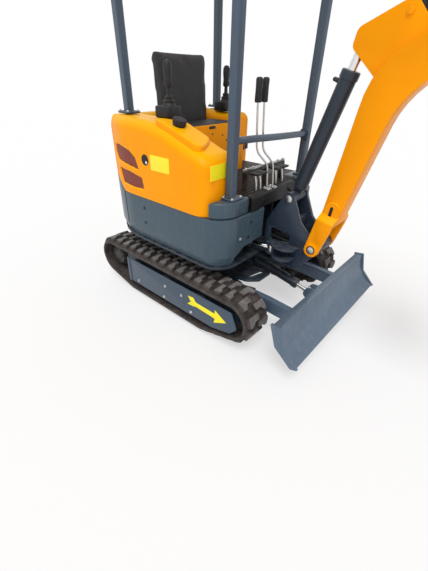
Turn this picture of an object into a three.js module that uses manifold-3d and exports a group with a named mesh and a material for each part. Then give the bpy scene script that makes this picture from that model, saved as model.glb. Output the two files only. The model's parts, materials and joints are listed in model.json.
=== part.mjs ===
// Mini excavator of the one-tonne class, in millimetres, +X forwards, +Y to the operator's left, +Z up.
// Each mesh is one named piece. The pieces stand as the machine parks: blade lifted, boom raised,
// arm and bucket curled in. The slew axis is at x = 0 while the pieces are made; at the end the whole
// machine is moved along X so that the origin lies on the ground under the middle of its box.

import * as THREE from 'three';
import { mergeVertices } from 'three/addons/utils/BufferGeometryUtils.js';
import Module from 'manifold-3d';

// ---------------------------------------------------------------------------------------------
// Driving dimensions
// ---------------------------------------------------------------------------------------------

// Clearances
const SEAT = 0.3;            // between two pieces that are bolted or rest on each other
const SIDE_PLAY = 0.8;       // beside a hub or an eye, between its two ears
const PIN_PLAY = 0.6;        // round a pin, in its hole
const ROD_PLAY = 0.4;        // round a piston rod, in its gland
const SWEEP = 6;             // round anything that moves past

// Crawler tracks
const TRACK_WIDTH = 950;     // over both belts
const BELT_WIDTH = 180;
const BELT_THICKNESS = 18;
const LUG_HEIGHT = 20;
const LUG_LENGTH = 30;       // along the belt
const LUG_PITCH = 72;
const SPROCKET_X = -479;
const IDLER_X = 488;
const WHEEL_Z = 179;         // axle height of sprocket and idler
const WHEEL_RADIUS = 92;     // inside of the belt round sprocket and idler
const ROLLER_RADIUS = 55;
const ROLLER_SPREAD = 290;   // from the middle roller to each end roller
const SPROCKET_TEETH = 11;

// Undercarriage
const SLEW_RING_RADIUS = 175;
const BODY_BOTTOM = 165;
const BODY_TOP = 300;
const HOUSE_BOTTOM = 385;

// Dozer blade
const BLADE_WIDTH = 934;
const BLADE_PIVOT = { x: 350, z: 200 };
const BLADE_ARM_Y = 235;     // middle of each push arm
const BLADE_ARM_THICKNESS = 34;
const BLADE_EYE = { x: 668, z: 206 };

// House, in plan
const HOUSE_HALF_WIDTH = 440;
const HOUSE_FRONT = 405;
const FRONT_CORNER_RADIUS = 120;
const TAIL_START = -220;     // where the straight sides end and the tail's ellipse begins
const TAIL_LENGTH = 420;
const SKIRT_TOP = 640;
const SKIRT_BOTTOM = 400;
const SKIRT_WALL = 8;
const TAIL_RISE_START = -300;   // where the counterweight's top edge begins to climb
const TAIL_RISE_END = -490;
const TAIL_TOP = 760;
const TAIL_WALL = 60;
const FRONT_GAP_HALF = 118;  // half of the opening for the swing bracket
const HOOD_WALL = 6;
const HOOD_INNER_Y = 225;    // side hoods' wall beside the seat
const HOOD_FRONT = 318;
const HOOD_TOP = 1010;
const HOOD_SPLIT = -380;     // between side hoods and rear hood
const LEFT_HOOD_FRONT = -128;
const FLOOR_TOP = 704;
const PAD_TOP = 714;

// Canopy
const POST_X = 345;
const POST_Y = 312;
const REAR_POST_X = -318;
const REAR_POST_Y = 335;
const POST_SIZE = 38;
const ROOF_BOTTOM = 2140;
const ROOF_SEAT = ROOF_BOTTOM + 1;   // underside of the cross beams that stand on the posts
const ROOF_THICKNESS = 55;

// Swing bracket
const KINGPIN_X = 480;
const KINGPIN_RADIUS = 22;
const LUG_RADIUS = 62;
const LOWER_LUG = [326, 346];
const UPPER_LUG = [378, 400];
const BRACKET_OUTER = 70;    // half width over the two plates
const BRACKET_PLATE = 18;
const BRACKET_TOP_PIN = { x: 504, z: 692 };
const FOOT_PIN_RADIUS = 20;
const SWING_LEVER = { x: -23, y: -102 };   // swing cylinder's eye, from the kingpin
const SWING_CYLINDER_Z = 436;
const SWING_BASE = { x: 95, y: -178 };

// Boom
const BOOM_FOOT = { x: 668, z: 488 };
const BOOM_ANGLE = 80;       // of the lower half, above level
const BOOM_BEND = 46;        // how far the upper half leans forwards from the lower half
const BOOM_LOWER = 690;
const BOOM_UPPER = 840;
const BOOM_HALF_WIDTH = 50;
const BOOM_FOOT_HALF_WIDTH = 90;
const BOOM_LUG_EYE = { x: 789, z: 132 };   // boom cylinder's eye, in the boom's own frame
const ARM_CYLINDER_BASE = { x: 880, z: 9 };

// Arm
const ARM_ANGLE = -88;
const ARM_LENGTH = 790;
const ARM_HALF_WIDTH = 32;
const ARM_EYE_RADIUS = 190;  // arm cylinder's eye, from the arm's pin
const ARM_EYE_ANGLE = 150;
const BUCKET_CYLINDER_BASE = { x: 100, z: 112 };

// Bucket and its linkage
const BUCKET_WIDTH = 380;
const BUCKET_RADIUS = 400;   // pin to tip of teeth
const BUCKET_WALL = 8;
const ROCKER_SPAN = 200;     // bucket pin to rocker pin, along the arm
const ROCKER_LENGTH = 155;
const LINK_LENGTH = 205;
const BUCKET_LEVER = 130;    // bucket pin to link pin
const ROCKER_ANGLE = 32;     // from the arm, as the bucket is curled
const TIP_ANGLE = 97;        // link pin to teeth, about the bucket pin
const EAR_THICKNESS = 14;
const ROCKER_THICKNESS = 10;
const LINK_THICKNESS = 11;

// Hydraulic cylinders
// bore and rod: outer radii of barrel and rod; eye, pin: radii; glandRoom: from the gland to the rod's eye
// as parked; retract: how far the rod can go in from there
const BOOM_CYLINDER = { bore: 33, rod: 17, eye: 26, pin: 15, glandRoom: 92, retract: 14 };
const ARM_CYLINDER = { bore: 27, rod: 14, eye: 24, pin: 12, glandRoom: 340, retract: 285 };
const BUCKET_CYLINDER = { bore: 24, rod: 13, eye: 22, pin: 11, glandRoom: 290, retract: 245 };
const BLADE_CYLINDER = { bore: 25, rod: 13, eye: 22, pin: 11, glandRoom: 75, retract: 20 };
const SWING_CYLINDER = { bore: 25, rod: 13, eye: 20, pin: 10, glandRoom: 105, retract: 75 };
const CYLINDER_EYE_HALF = 18;

// ---------------------------------------------------------------------------------------------
// Shapes
// ---------------------------------------------------------------------------------------------

const wasm = await Module();
wasm.setup();

const radians = THREE.MathUtils.degToRad;

/** A manifold-3d solid from a closed three.js geometry. */
function toSolid(geometry) {
  const bare = geometry.clone();
  bare.deleteAttribute('normal');
  bare.deleteAttribute('uv');
  const merged = mergeVertices(bare, 1e-3);
  return new wasm.Manifold(new wasm.Mesh({
    numProp: 3,
    vertProperties: new Float32Array(merged.attributes.position.array),
    triVerts: new Uint32Array(merged.index.array),
  }));
}

/** A three.js geometry from a manifold-3d solid. */
function toGeometry(solid) {
  const mesh = solid.getMesh();
  const geometry = new THREE.BufferGeometry();
  geometry.setAttribute('position', new THREE.BufferAttribute(mesh.vertProperties, 3));
  geometry.setIndex(new THREE.BufferAttribute(mesh.triVerts, 1));
  return geometry;
}

/** All the given geometries as one. */
function join(...geometries) {
  return toGeometry(geometries.map(toSolid).reduce((whole, more) => whole.add(more)));
}

/** The first geometry without the others. */
function cut(geometry, ...tools) {
  return toGeometry(tools.map(toSolid).reduce((whole, tool) => whole.subtract(tool), toSolid(geometry)));
}

/** What all the given geometries share. */
function common(...geometries) {
  return toGeometry(geometries.map(toSolid).reduce((whole, other) => whole.intersect(other)));
}

/** A box between two corners. */
function box([x0, x1], [y0, y1], [z0, z1]) {
  return new THREE.BoxGeometry(x1 - x0, y1 - y0, z1 - z0)
    .translate((x0 + x1) / 2, (y0 + y1) / 2, (z0 + z1) / 2);
}

/** A round bar along X, Y or Z. */
function barX(radius, [x0, x1], y, z, sides = 16) {
  return new THREE.CylinderGeometry(radius, radius, x1 - x0, sides)
    .rotateZ(Math.PI / 2).translate((x0 + x1) / 2, y, z);
}
function barY(radius, [y0, y1], { x, z }, sides = 16) {
  return new THREE.CylinderGeometry(radius, radius, y1 - y0, sides).translate(x, (y0 + y1) / 2, z);
}
function barZ(radius, [z0, z1], { x, y }, sides = 24) {
  return new THREE.CylinderGeometry(radius, radius, z1 - z0, sides)
    .rotateX(Math.PI / 2).translate(x, y, (z0 + z1) / 2);
}

/** A closed outline through corners [x, y, radius], with each corner rounded to its radius. */
function outline(corners) {
  const shape = new THREE.Shape();
  corners.forEach(([x, y, radius = 0], i) => {
    const corner = new THREE.Vector2(x, y);
    const before = corners[(i + corners.length - 1) % corners.length];
    const after = corners[(i + 1) % corners.length];
    const back = new THREE.Vector2(before[0] - x, before[1] - y).normalize();
    const on = new THREE.Vector2(after[0] - x, after[1] - y).normalize();
    const move = i === 0 ? 'moveTo' : 'lineTo';
    if (radius === 0) {
      shape[move](x, y);
      return;
    }
    const half = Math.acos(THREE.MathUtils.clamp(back.dot(on), -1, 1)) / 2;
    const start = corner.clone().addScaledVector(back, radius / Math.tan(half));
    const end = corner.clone().addScaledVector(on, radius / Math.tan(half));
    const centre = corner.clone().addScaledVector(back.clone().add(on).normalize(), radius / Math.sin(half));
    const angle = (point) => Math.atan2(point.y - centre.y, point.x - centre.x);
    shape[move](start.x, start.y);
    shape.absarc(centre.x, centre.y, radius, angle(start), angle(end), back.cross(on) > 0);
  });
  return shape;
}

/** An outline in X and Y, stood up from one height to another. */
function upright(shape, [z0, z1], curveSegments = 3) {
  return new THREE.ExtrudeGeometry(shape, { depth: z1 - z0, bevelEnabled: false, curveSegments })
    .translate(0, 0, z0);
}

/** An outline in X and Z, carried across from one Y to another. */
function across(shape, [y0, y1], curveSegments = 2) {
  return new THREE.ExtrudeGeometry(shape, { depth: y1 - y0, bevelEnabled: false, curveSegments })
    .rotateX(Math.PI / 2).translate(0, y1, 0);
}

/** The same outline as two plates, one on each side of y = 0. */
function pairAcross(shape, [inner, outer], curveSegments = 2) {
  return [
    across(shape, [inner, outer], curveSegments),
    across(shape, [-outer, -inner], curveSegments),
  ];
}

/** A round tube along a list of points, with its bends rounded. */
function tube(points, radius, bend, steps = 24, sides = 10) {
  const path = new THREE.CurvePath();
  let from = points[0].clone();
  for (let i = 1; i < points.length - 1; i++) {
    const start = points[i].clone().lerp(points[i - 1], bend / points[i].distanceTo(points[i - 1]));
    const end = points[i].clone().lerp(points[i + 1], bend / points[i].distanceTo(points[i + 1]));
    path.add(new THREE.LineCurve3(from, start));
    path.add(new THREE.QuadraticBezierCurve3(start, points[i].clone(), end));
    from = end;
  }
  path.add(new THREE.LineCurve3(from, points[points.length - 1].clone()));
  const section = new THREE.Shape();
  section.absarc(0, 0, radius, 0, 2 * Math.PI);
  return new THREE.ExtrudeGeometry(section, { steps, curveSegments: sides / 2, extrudePath: path });
}

/** The same geometry on the other side of y = 0, still facing outwards. */
function mirrored(geometry) {
  const copy = toGeometry(toSolid(geometry));
  copy.scale(1, -1, 1);
  const index = copy.index.array;
  for (let i = 0; i < index.length; i += 3) [index[i], index[i + 1]] = [index[i + 1], index[i]];
  return copy;
}

/** The point at a distance and an angle above level from another, in the X-Z plane. */
function polar(from, degrees, length) {
  return {
    x: from.x + length * Math.cos(radians(degrees)),
    z: from.z + length * Math.sin(radians(degrees)),
  };
}

const point = (x, y, z) => new THREE.Vector3(x, y, z);

// ---------------------------------------------------------------------------------------------
// Materials and the machine's groups
// ---------------------------------------------------------------------------------------------

const paint = (color, roughness = 0.4, metalness = 0) => ({ color, roughness, metalness });
const YELLOW = paint(0xffa200);
const SLATE = paint(0x53626a);
const DARK = paint(0x2c3440);
const BLACK = paint(0x17181a, 0.7);
const RUBBER = paint(0x35302d, 0.9);
const STEEL = paint(0xb9bcc0, 0.25, 1);
const IRON = paint(0x44474b, 0.6, 0.6);
const VINYL = paint(0x1b1c1e, 0.6);

const machine = new THREE.Group();
machine.name = 'mini_excavator';

/** A group for the pieces of one moving body, at its pivot and turned up from level. */
function body(name, { x, y = 0, z }, degrees = 0) {
  const group = new THREE.Group();
  group.name = name;
  group.position.set(x, y, z);
  group.rotation.y = -radians(degrees);
  machine.add(group);
  return group;
}

/** Adds a geometry to a group as a named piece. */
function piece(group, name, geometry, material) {
  const mesh = new THREE.Mesh(geometry, new THREE.MeshStandardMaterial(material));
  mesh.name = name;
  group.add(mesh);
  return mesh;
}

/** Where a point of a group lies in the machine. */
function placeOf(group, { x, y = 0, z = 0 }) {
  group.updateMatrixWorld(true);
  return group.localToWorld(point(x, y, z));
}

const undercarriage = body('undercarriage', { x: 0, z: 0 });
const house = body('house', { x: 0, z: 0 });

// ---------------------------------------------------------------------------------------------
// Tracks: a rubber belt round a sprocket, an idler and three rollers on a box-section frame
// ---------------------------------------------------------------------------------------------

const TRACK_Y = (TRACK_WIDTH - BELT_WIDTH) / 2;
const ROLLER_Z = LUG_HEIGHT + BELT_THICKNESS + ROLLER_RADIUS;
const ROLLER_XS = [-ROLLER_SPREAD, 0, ROLLER_SPREAD];

const RIM_SIDES = 24;
/** How far out a wheel can reach inside the belt, whose loop is drawn with flat facets. */
const insideBelt = (radius) => radius * Math.cos(Math.PI / RIM_SIDES) - SEAT;

/** The closed loop that lies round the wheels at a height above their rims, as points. */
function loopRoundWheels(height) {
  const wheels = [
    { x: SPROCKET_X, z: WHEEL_Z, radius: WHEEL_RADIUS },
    { x: IDLER_X, z: WHEEL_Z, radius: WHEEL_RADIUS },
    ...ROLLER_XS.map((x) => ({ x, z: ROLLER_Z, radius: ROLLER_RADIUS })),
  ];
  const rim = wheels.flatMap(({ x, z, radius }) => Array.from({ length: RIM_SIDES }, (_, i) => {
    const angle = (i / RIM_SIDES) * 2 * Math.PI - Math.PI / 2;
    return new THREE.Vector2(x + (radius + height) * Math.cos(angle), z + (radius + height) * Math.sin(angle));
  }));
  rim.sort((a, b) => a.x - b.x || a.y - b.y);
  const turnsLeft = (a, b, c) => (b.x - a.x) * (c.y - a.y) - (b.y - a.y) * (c.x - a.x) > 1e-6;
  const chain = (points) => points.reduce((kept, next) => {
    while (kept.length > 1 && !turnsLeft(kept[kept.length - 2], kept[kept.length - 1], next)) kept.pop();
    return [...kept, next];
  }, []).slice(0, -1);
  return [...chain(rim), ...chain([...rim].reverse())];
}

/** One half of a belt's width, with its lugs shifted along the belt by a share of their pitch. */
function beltStrip([y0, y1], shift) {
  const outer = loopRoundWheels(BELT_THICKNESS);
  const loop = new THREE.CurvePath();
  outer.forEach((from, i) => loop.add(new THREE.LineCurve(from, outer[(i + 1) % outer.length])));
  const lugs = Math.round(loop.getLength() / LUG_PITCH);
  const edge = [];
  for (let i = 0; i < lugs; i++) {
    const start = (i + shift) / lugs;
    const end = start + LUG_LENGTH / loop.getLength();
    const [a, b] = [loop.getPointAt(start % 1), loop.getPointAt(end % 1)];
    const out = new THREE.Vector2(b.y - a.y, a.x - b.x).normalize().multiplyScalar(LUG_HEIGHT);
    edge.push(a, a.clone().add(out), b.clone().add(out), b);
  }
  const shape = new THREE.Shape(edge);
  shape.holes.push(new THREE.Path(loopRoundWheels(0)));
  return across(shape, [y0, y1]);
}

function makeTrack(side, sign) {
  const y = sign * TRACK_Y;
  const half = BELT_WIDTH / 2;
  piece(undercarriage, `track_${side}`, join(
    beltStrip([y - half, y], 0),
    beltStrip([y, y + half], 0.5),
  ), RUBBER);

  const wheelRadius = insideBelt(WHEEL_RADIUS);
  const sprocketAt = { x: SPROCKET_X, z: WHEEL_Z };
  const toothed = new THREE.Shape();
  for (let i = 0; i < SPROCKET_TEETH; i++) {
    [[0, wheelRadius], [0.3, wheelRadius], [0.5, wheelRadius - 16], [0.8, wheelRadius - 16]]
      .forEach(([share, radius], corner) => {
        const angle = ((i + share) / SPROCKET_TEETH) * 2 * Math.PI;
        const [x, z] = [SPROCKET_X + radius * Math.cos(angle), WHEEL_Z + radius * Math.sin(angle)];
        toothed[i + corner === 0 ? 'moveTo' : 'lineTo'](x, z);
      });
  }
  const frameHalf = 38;
  const plate = 8;
  const motorEnds = [frameHalf - SEAT, -(frameHalf + 6)].map((offset) => y - sign * offset);
  piece(undercarriage, `sprocket_${side}`, join(
    across(toothed, [y - 12, y + 12]),
    barY(58, [Math.min(...motorEnds), Math.max(...motorEnds)], sprocketAt),
  ), IRON);

  const idlerAt = { x: IDLER_X, z: WHEEL_Z };
  piece(undercarriage, `idler_${side}`, join(
    barY(wheelRadius, [y - 14, y + 14], idlerAt, RIM_SIDES),
    barY(wheelRadius - 18, [y - 30, y + 30], idlerAt),
    barY(16, [y - frameHalf + SEAT, y + frameHalf - SEAT], idlerAt, 12),
  ), IRON);

  const plateShape = outline([
    [SPROCKET_X - 62, WHEEL_Z - 62, 50], [SPROCKET_X + 90, WHEEL_Z - 62, 20], [-ROLLER_SPREAD - 40, 78, 20],
    [ROLLER_SPREAD + 30, 78, 20], [IDLER_X - 60, WHEEL_Z - 34, 20], [IDLER_X + 34, WHEEL_Z - 34, 30],
    [IDLER_X + 34, WHEEL_Z + 34, 30], [ROLLER_SPREAD + 60, WHEEL_Z + 59, 20],
    [SPROCKET_X - 62, WHEEL_Z + 59, 50],
  ]);
  const outerPlateShape = outline([
    [SPROCKET_X + 110, WHEEL_Z - 50, 20], [-ROLLER_SPREAD - 40, 78, 20],
    [ROLLER_SPREAD + 30, 78, 20], [IDLER_X - 60, WHEEL_Z - 34, 20], [IDLER_X + 34, WHEEL_Z - 34, 30],
    [IDLER_X + 34, WHEEL_Z + 34, 30], [ROLLER_SPREAD + 60, WHEEL_Z + 59, 20],
    [SPROCKET_X + 110, WHEEL_Z + 59, 20],
  ]);
  const plateSpan = (offset) => [y + offset, y + offset + Math.sign(offset) * plate].sort((a, b) => a - b);
  piece(undercarriage, `track_frame_${side}`, join(
    box([SPROCKET_X + 112, IDLER_X - 110], [y - frameHalf, y + frameHalf], [158, 238]),
    across(plateShape, plateSpan(-sign * frameHalf)),
    across(outerPlateShape, plateSpan(sign * frameHalf)),
    ...ROLLER_XS.flatMap((x) => [
      barY(insideBelt(ROLLER_RADIUS), [y - 30, y - 12], { x, z: ROLLER_Z }, 12),
      barY(insideBelt(ROLLER_RADIUS), [y + 12, y + 30], { x, z: ROLLER_Z }, 12),
      barY(ROLLER_RADIUS - 16, [y - 13, y + 13], { x, z: ROLLER_Z }, 12),
      barY(12, [y - frameHalf - 1, y + frameHalf + 1], { x, z: ROLLER_Z }, 8),
    ]),
  ), DARK);

  const coverFace = y + sign * (half - 7);
  const coverBack = coverFace - sign * 6;
  const spacerEnd = y + sign * (frameHalf + plate + SEAT);
  const ordered = (a, b) => [Math.min(a, b), Math.max(a, b)];
  piece(undercarriage, `cover_plate_${side}`, join(
    across(outline([
      [-323, 76], [ROLLER_SPREAD + 90, 76], [IDLER_X + 10, 104], [IDLER_X + 52, 150, 8],
      [IDLER_X + 16, 234], [-323, 234],
    ]), ordered(coverFace, coverBack)),
    ...[-290, -20, 250].map((x) => box([x, x + 50], ordered(coverBack, spacerEnd), [176, 216])),
  ), SLATE);
}

makeTrack('right', -1);
makeTrack('left', 1);

// ---------------------------------------------------------------------------------------------
// Undercarriage body: a centre drum with four legs to the track frames and the blade's lugs
// ---------------------------------------------------------------------------------------------

const legEnd = TRACK_Y - 46 - SEAT;
const legShape = outline([
  [60, 90, 20], [230, legEnd], [350, legEnd], [250, 120, 30], [190, 20, 20], [60, 20],
]);
const leg = upright(legShape, [BODY_BOTTOM + 20, BODY_BOTTOM + 82]);
const hindLeg = leg.clone().rotateY(Math.PI).translate(0, 0, 2 * BODY_BOTTOM + 102);
const bladeLugs = [-1, 1].flatMap((sign) => [-1, 1].map((side) => {
  const inner = BLADE_ARM_Y + side * (BLADE_ARM_THICKNESS / 2 + SIDE_PLAY);
  const span = [inner, inner + side * 12].map((y) => sign * y).sort((a, b) => a - b);
  return across(outline([
    [BLADE_PIVOT.x - 70, 185], [BLADE_PIVOT.x + 26, BLADE_PIVOT.z - 26, 22],
    [BLADE_PIVOT.x + 26, BLADE_PIVOT.z + 26, 22], [BLADE_PIVOT.x - 70, 246],
  ]), span);
}));
const cylinderLugs = pairAcross(outline([
  [150, 190], [250, 190, 20], [300, 262, 24], [282, 312, 24], [236, 306, 10], [150, 250],
]), [CYLINDER_EYE_HALF + SIDE_PLAY, CYLINDER_EYE_HALF + SIDE_PLAY + 12]);
const BLADE_CYLINDER_BASE = { x: 270, z: 282 };

piece(undercarriage, 'car_body', join(
  barZ(190, [BODY_BOTTOM, BODY_TOP], { x: 0, y: 0 }),
  barZ(SLEW_RING_RADIUS - 8, [BODY_TOP - 1, HOUSE_BOTTOM - 35 - SEAT], { x: 0, y: 0 }),
  box([150, 205], [-90, 90], [BODY_BOTTOM, BODY_TOP - 20]),
  leg, mirrored(leg), hindLeg, mirrored(hindLeg),
  box([215, 245], [-legEnd, legEnd], [BODY_BOTTOM + 20, BODY_BOTTOM + 82]),
  ...bladeLugs,
  ...[-1, 1].map((sign) => barY(14, [-30, 30].map((y) => y + sign * BLADE_ARM_Y), BLADE_PIVOT, 12)),
  ...cylinderLugs,
  barY(BLADE_CYLINDER.pin, [-32, 32], BLADE_CYLINDER_BASE, 12),
), DARK);

// ---------------------------------------------------------------------------------------------
// Hydraulic cylinders: a barrel with its base eye, and a rod with its own eye
// ---------------------------------------------------------------------------------------------

/** Makes the two pieces of a cylinder between its base pin and its rod's eye. */
function makeCylinder(name, base, eye, pinAxis, size, baseHalf = CYLINDER_EYE_HALF) {
  const along = eye.clone().sub(base);
  const length = along.length();
  const direction = along.normalize();
  const group = new THREE.Group();
  group.name = name;
  group.position.copy(base);
  const third = direction.clone().cross(pinAxis);
  group.quaternion.setFromRotationMatrix(new THREE.Matrix4().makeBasis(direction, pinAxis, third));
  machine.add(group);
  const here = { x: 0, z: 0 };
  const glandEnd = length - size.glandRoom;
  const neckEnd = size.eye + 18;
  const boreEnd = neckEnd + 10;
  piece(group, `${name}_barrel`, cut(
    join(
      barY(size.eye, [-baseHalf, baseHalf], here),
      box([0, neckEnd + 1], [-CYLINDER_EYE_HALF + 2, CYLINDER_EYE_HALF - 2], [-size.eye * 0.75, size.eye * 0.75]),
      barX(size.bore, [neckEnd, glandEnd], 0, 0),
      barX(size.bore + 3, [glandEnd - 26, glandEnd], 0, 0),
    ),
    barY(size.pin + PIN_PLAY, [-baseHalf - 1, baseHalf + 1], here, 12),
    barX(size.rod + ROD_PLAY, [boreEnd, glandEnd + 1], 0, 0),
  ), DARK);
  piece(group, `${name}_rod`, join(
    barX(size.rod, [boreEnd + size.retract + 5, length], 0, 0),
    barX(Math.min(size.rod + 4, CYLINDER_EYE_HALF - 0.5), [length - size.eye - 10, length - size.eye * 0.5], 0, 0, 12),
    barY(size.eye, [-CYLINDER_EYE_HALF, CYLINDER_EYE_HALF], { x: length, z: 0 }),
  ), STEEL);
  return group;
}

const ACROSS = point(0, 1, 0);

// ---------------------------------------------------------------------------------------------
// Dozer blade: a curved plate between two end plates, on two push arms
// ---------------------------------------------------------------------------------------------

const blade = body('blade', BLADE_PIVOT);
const bladeFrom = (x, z) => [x - BLADE_PIVOT.x, z - BLADE_PIVOT.z];
const bladeEndShape = new THREE.Shape();
bladeEndShape.moveTo(...bladeFrom(716, 288));
bladeEndShape.quadraticCurveTo(...bladeFrom(722, 164), ...bladeFrom(840, 104));
bladeEndShape.lineTo(...bladeFrom(872, 116));
bladeEndShape.quadraticCurveTo(...bladeFrom(768, 178), ...bladeFrom(768, 296));
const bladePlate = new THREE.Shape();
bladePlate.moveTo(...bladeFrom(724, 286));
bladePlate.quadraticCurveTo(...bladeFrom(728, 170), ...bladeFrom(838, 110));
bladePlate.lineTo(...bladeFrom(866, 120));
bladePlate.quadraticCurveTo(...bladeFrom(762, 176), ...bladeFrom(762, 292));
const bladeHalf = BLADE_WIDTH / 2;
const pushArm = (y) => {
  const span = [y - BLADE_ARM_THICKNESS / 2, y + BLADE_ARM_THICKNESS / 2];
  return cut(
    across(outline([
      [-30, -30, 28], [...bladeFrom(735, 152), 20], bladeFrom(770, 150), bladeFrom(735, 222),
      [...bladeFrom(560, 232), 60], [-30, 30, 28],
    ]), span),
    barY(14 + PIN_PLAY, [span[0] - 1, span[1] + 1], { x: 0, z: 0 }, 12),
  );
};
const rodLug = outline([
  bladeFrom(745, 160), bladeFrom(745, 250), [...bladeFrom(664, 240), 24],
  [...bladeFrom(640, 196), 24], [...bladeFrom(668, 178), 10],
]);
piece(blade, 'dozer_blade', join(
  across(bladePlate, [-bladeHalf + 2, bladeHalf - 2], 6),
  ...pairAcross(bladeEndShape, [bladeHalf - 14, bladeHalf]),
  pushArm(-BLADE_ARM_Y),
  pushArm(BLADE_ARM_Y),
  ...pairAcross(rodLug, [CYLINDER_EYE_HALF + SIDE_PLAY, CYLINDER_EYE_HALF + SIDE_PLAY + 12]),
), SLATE);

makeCylinder(
  'blade_cylinder',
  point(BLADE_CYLINDER_BASE.x, 0, BLADE_CYLINDER_BASE.z), point(BLADE_EYE.x, 0, BLADE_EYE.z),
  ACROSS, BLADE_CYLINDER,
);

// ---------------------------------------------------------------------------------------------
// House: platform, skirts and counterweight below, hoods, floor and seat above
// ---------------------------------------------------------------------------------------------

/** The house's outline in plan, drawn in from its outer face by a wall. */
function housePlan(inset) {
  const shape = new THREE.Shape();
  const [front, side] = [HOUSE_FRONT - inset, HOUSE_HALF_WIDTH - inset];
  const radius = FRONT_CORNER_RADIUS - inset;
  shape.moveTo(TAIL_START, -side);
  shape.lineTo(front - radius, -side);
  shape.absarc(front - radius, -side + radius, radius, -Math.PI / 2, 0, false);
  shape.lineTo(front, side - radius);
  shape.absarc(front - radius, side - radius, radius, 0, Math.PI / 2, false);
  shape.lineTo(TAIL_START, side);
  shape.absellipse(TAIL_START, 0, TAIL_LENGTH - inset, side, Math.PI / 2, 1.5 * Math.PI, false, 0);
  return shape;
}

const houseBlock = (inset, heights, segments = 8) => upright(housePlan(inset), heights, segments);
const FAR = 2000;

const platformPlate = [HOUSE_BOTTOM, HOUSE_BOTTOM + 12];
const deckPlate = [SKIRT_TOP - 12, SKIRT_TOP];
const plateInset = SKIRT_WALL + SEAT;
const bracketBay = box([345, FAR], [-FRONT_GAP_HALF + 6, FRONT_GAP_HALF - 6], [HOUSE_BOTTOM - 60, SKIRT_TOP + 1]);
const lugShape = outline([
  [300, -LUG_RADIUS], [KINGPIN_X + LUG_RADIUS, -LUG_RADIUS, LUG_RADIUS - 1],
  [KINGPIN_X + LUG_RADIUS, LUG_RADIUS, LUG_RADIUS - 1], [300, LUG_RADIUS],
]);
const kingpinHole = barZ(KINGPIN_RADIUS + PIN_PLAY, [LOWER_LUG[0] - 20, UPPER_LUG[1] + 20], { x: KINGPIN_X, y: 0 });
const swingBaseAt = { x: SWING_BASE.x, y: SWING_BASE.y };
piece(house, 'platform', cut(
  join(
    cut(
      join(
        houseBlock(plateInset, platformPlate),
        common(houseBlock(plateInset, deckPlate), box([-240, FAR], [-FAR, FAR], deckPlate)),
        ...[-1, 1].map((sign) => box(
          [-240, 360], [sign * 57 - 6, sign * 57 + 6], [platformPlate[1] - 1, deckPlate[0] + 1],
        )),
        box([-246, -234], [-400, 400], [platformPlate[1] - 1, deckPlate[0] + 1]),
      ),
      bracketBay,
    ),
    barZ(SLEW_RING_RADIUS, [HOUSE_BOTTOM - 35, platformPlate[0] + 1], { x: 0, y: 0 }),
    box([300, 350], [-LUG_RADIUS, LUG_RADIUS], [LOWER_LUG[0], platformPlate[0] + 1]),
    upright(lugShape, LOWER_LUG),
    upright(lugShape, UPPER_LUG),
    box([SWING_BASE.x - 24, SWING_BASE.x + 24], [SWING_BASE.y - 24, SWING_BASE.y + 24],
      [platformPlate[1] - 1, SWING_CYLINDER_Z - CYLINDER_EYE_HALF - SIDE_PLAY]),
    barZ(SWING_CYLINDER.pin, [platformPlate[1], SWING_CYLINDER_Z + CYLINDER_EYE_HALF + 8], swingBaseAt, 12),
  ),
  kingpinHole,
), DARK);

const swingRodWay = box([250, FAR], [-FRONT_GAP_HALF - 70, 0], [SKIRT_BOTTOM - 10, SWING_CYLINDER_Z + 34]);
const skirtBand = common(
  cut(houseBlock(0, [SKIRT_BOTTOM, SKIRT_TOP]), houseBlock(SKIRT_WALL, [SKIRT_BOTTOM - 1, SKIRT_TOP + 1])),
  box([-300, FAR], [-FAR, -FRONT_GAP_HALF], [0, FAR]),
);
piece(house, 'skirt_right', cut(skirtBand, swingRodWay), SLATE);
piece(house, 'skirt_left', mirrored(skirtBand), SLATE);

/** What lies above the counterweight's top edge, which climbs from the skirts to the tail, and a gap. */
const aboveTail = (gap) => across(outline([
  [FAR, SKIRT_TOP + gap], [FAR, FAR], [-FAR, FAR], [-FAR, TAIL_TOP + gap], [TAIL_RISE_END, TAIL_TOP + gap],
  [TAIL_RISE_START, SKIRT_TOP + gap],
]), [-FAR, FAR]);

const ENGINE = { x: [-525, -262], y: [-180, 180], top: 800 };
piece(house, 'counterweight', cut(
  common(
    houseBlock(0, [platformPlate[1] + SEAT, TAIL_TOP]),
    box([-FAR, TAIL_RISE_START - SEAT], [-FAR, FAR], [0, FAR]),
  ),
  aboveTail(0),
  houseBlock(TAIL_WALL, [SKIRT_TOP, FAR]),
  box([ENGINE.x[0] - 6, ENGINE.x[1]], [ENGINE.y[0] - 20, ENGINE.y[1] + 20], [platformPlate[1] - 1, SKIRT_TOP + 1]),
), SLATE);

/** A hollow hood over part of the house: a side profile, walled all round and open below. */
function hood(profile, region, wall = HOOD_WALL) {
  const solid = (inset, bottom) => common(
    houseBlock(inset, [bottom, FAR]),
    across(profile(inset), [-FAR, FAR], 5),
    box(...region(inset)),
  );
  return common(cut(solid(0, SKIRT_TOP - 1), solid(wall, SKIRT_TOP - 20)), aboveTail(SEAT));
}

const SHOULDER = { x: -20, z: 1000 };   // where the right hood's top begins to slope down
const NOSE = { x: HOOD_FRONT, z: 880 };

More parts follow.
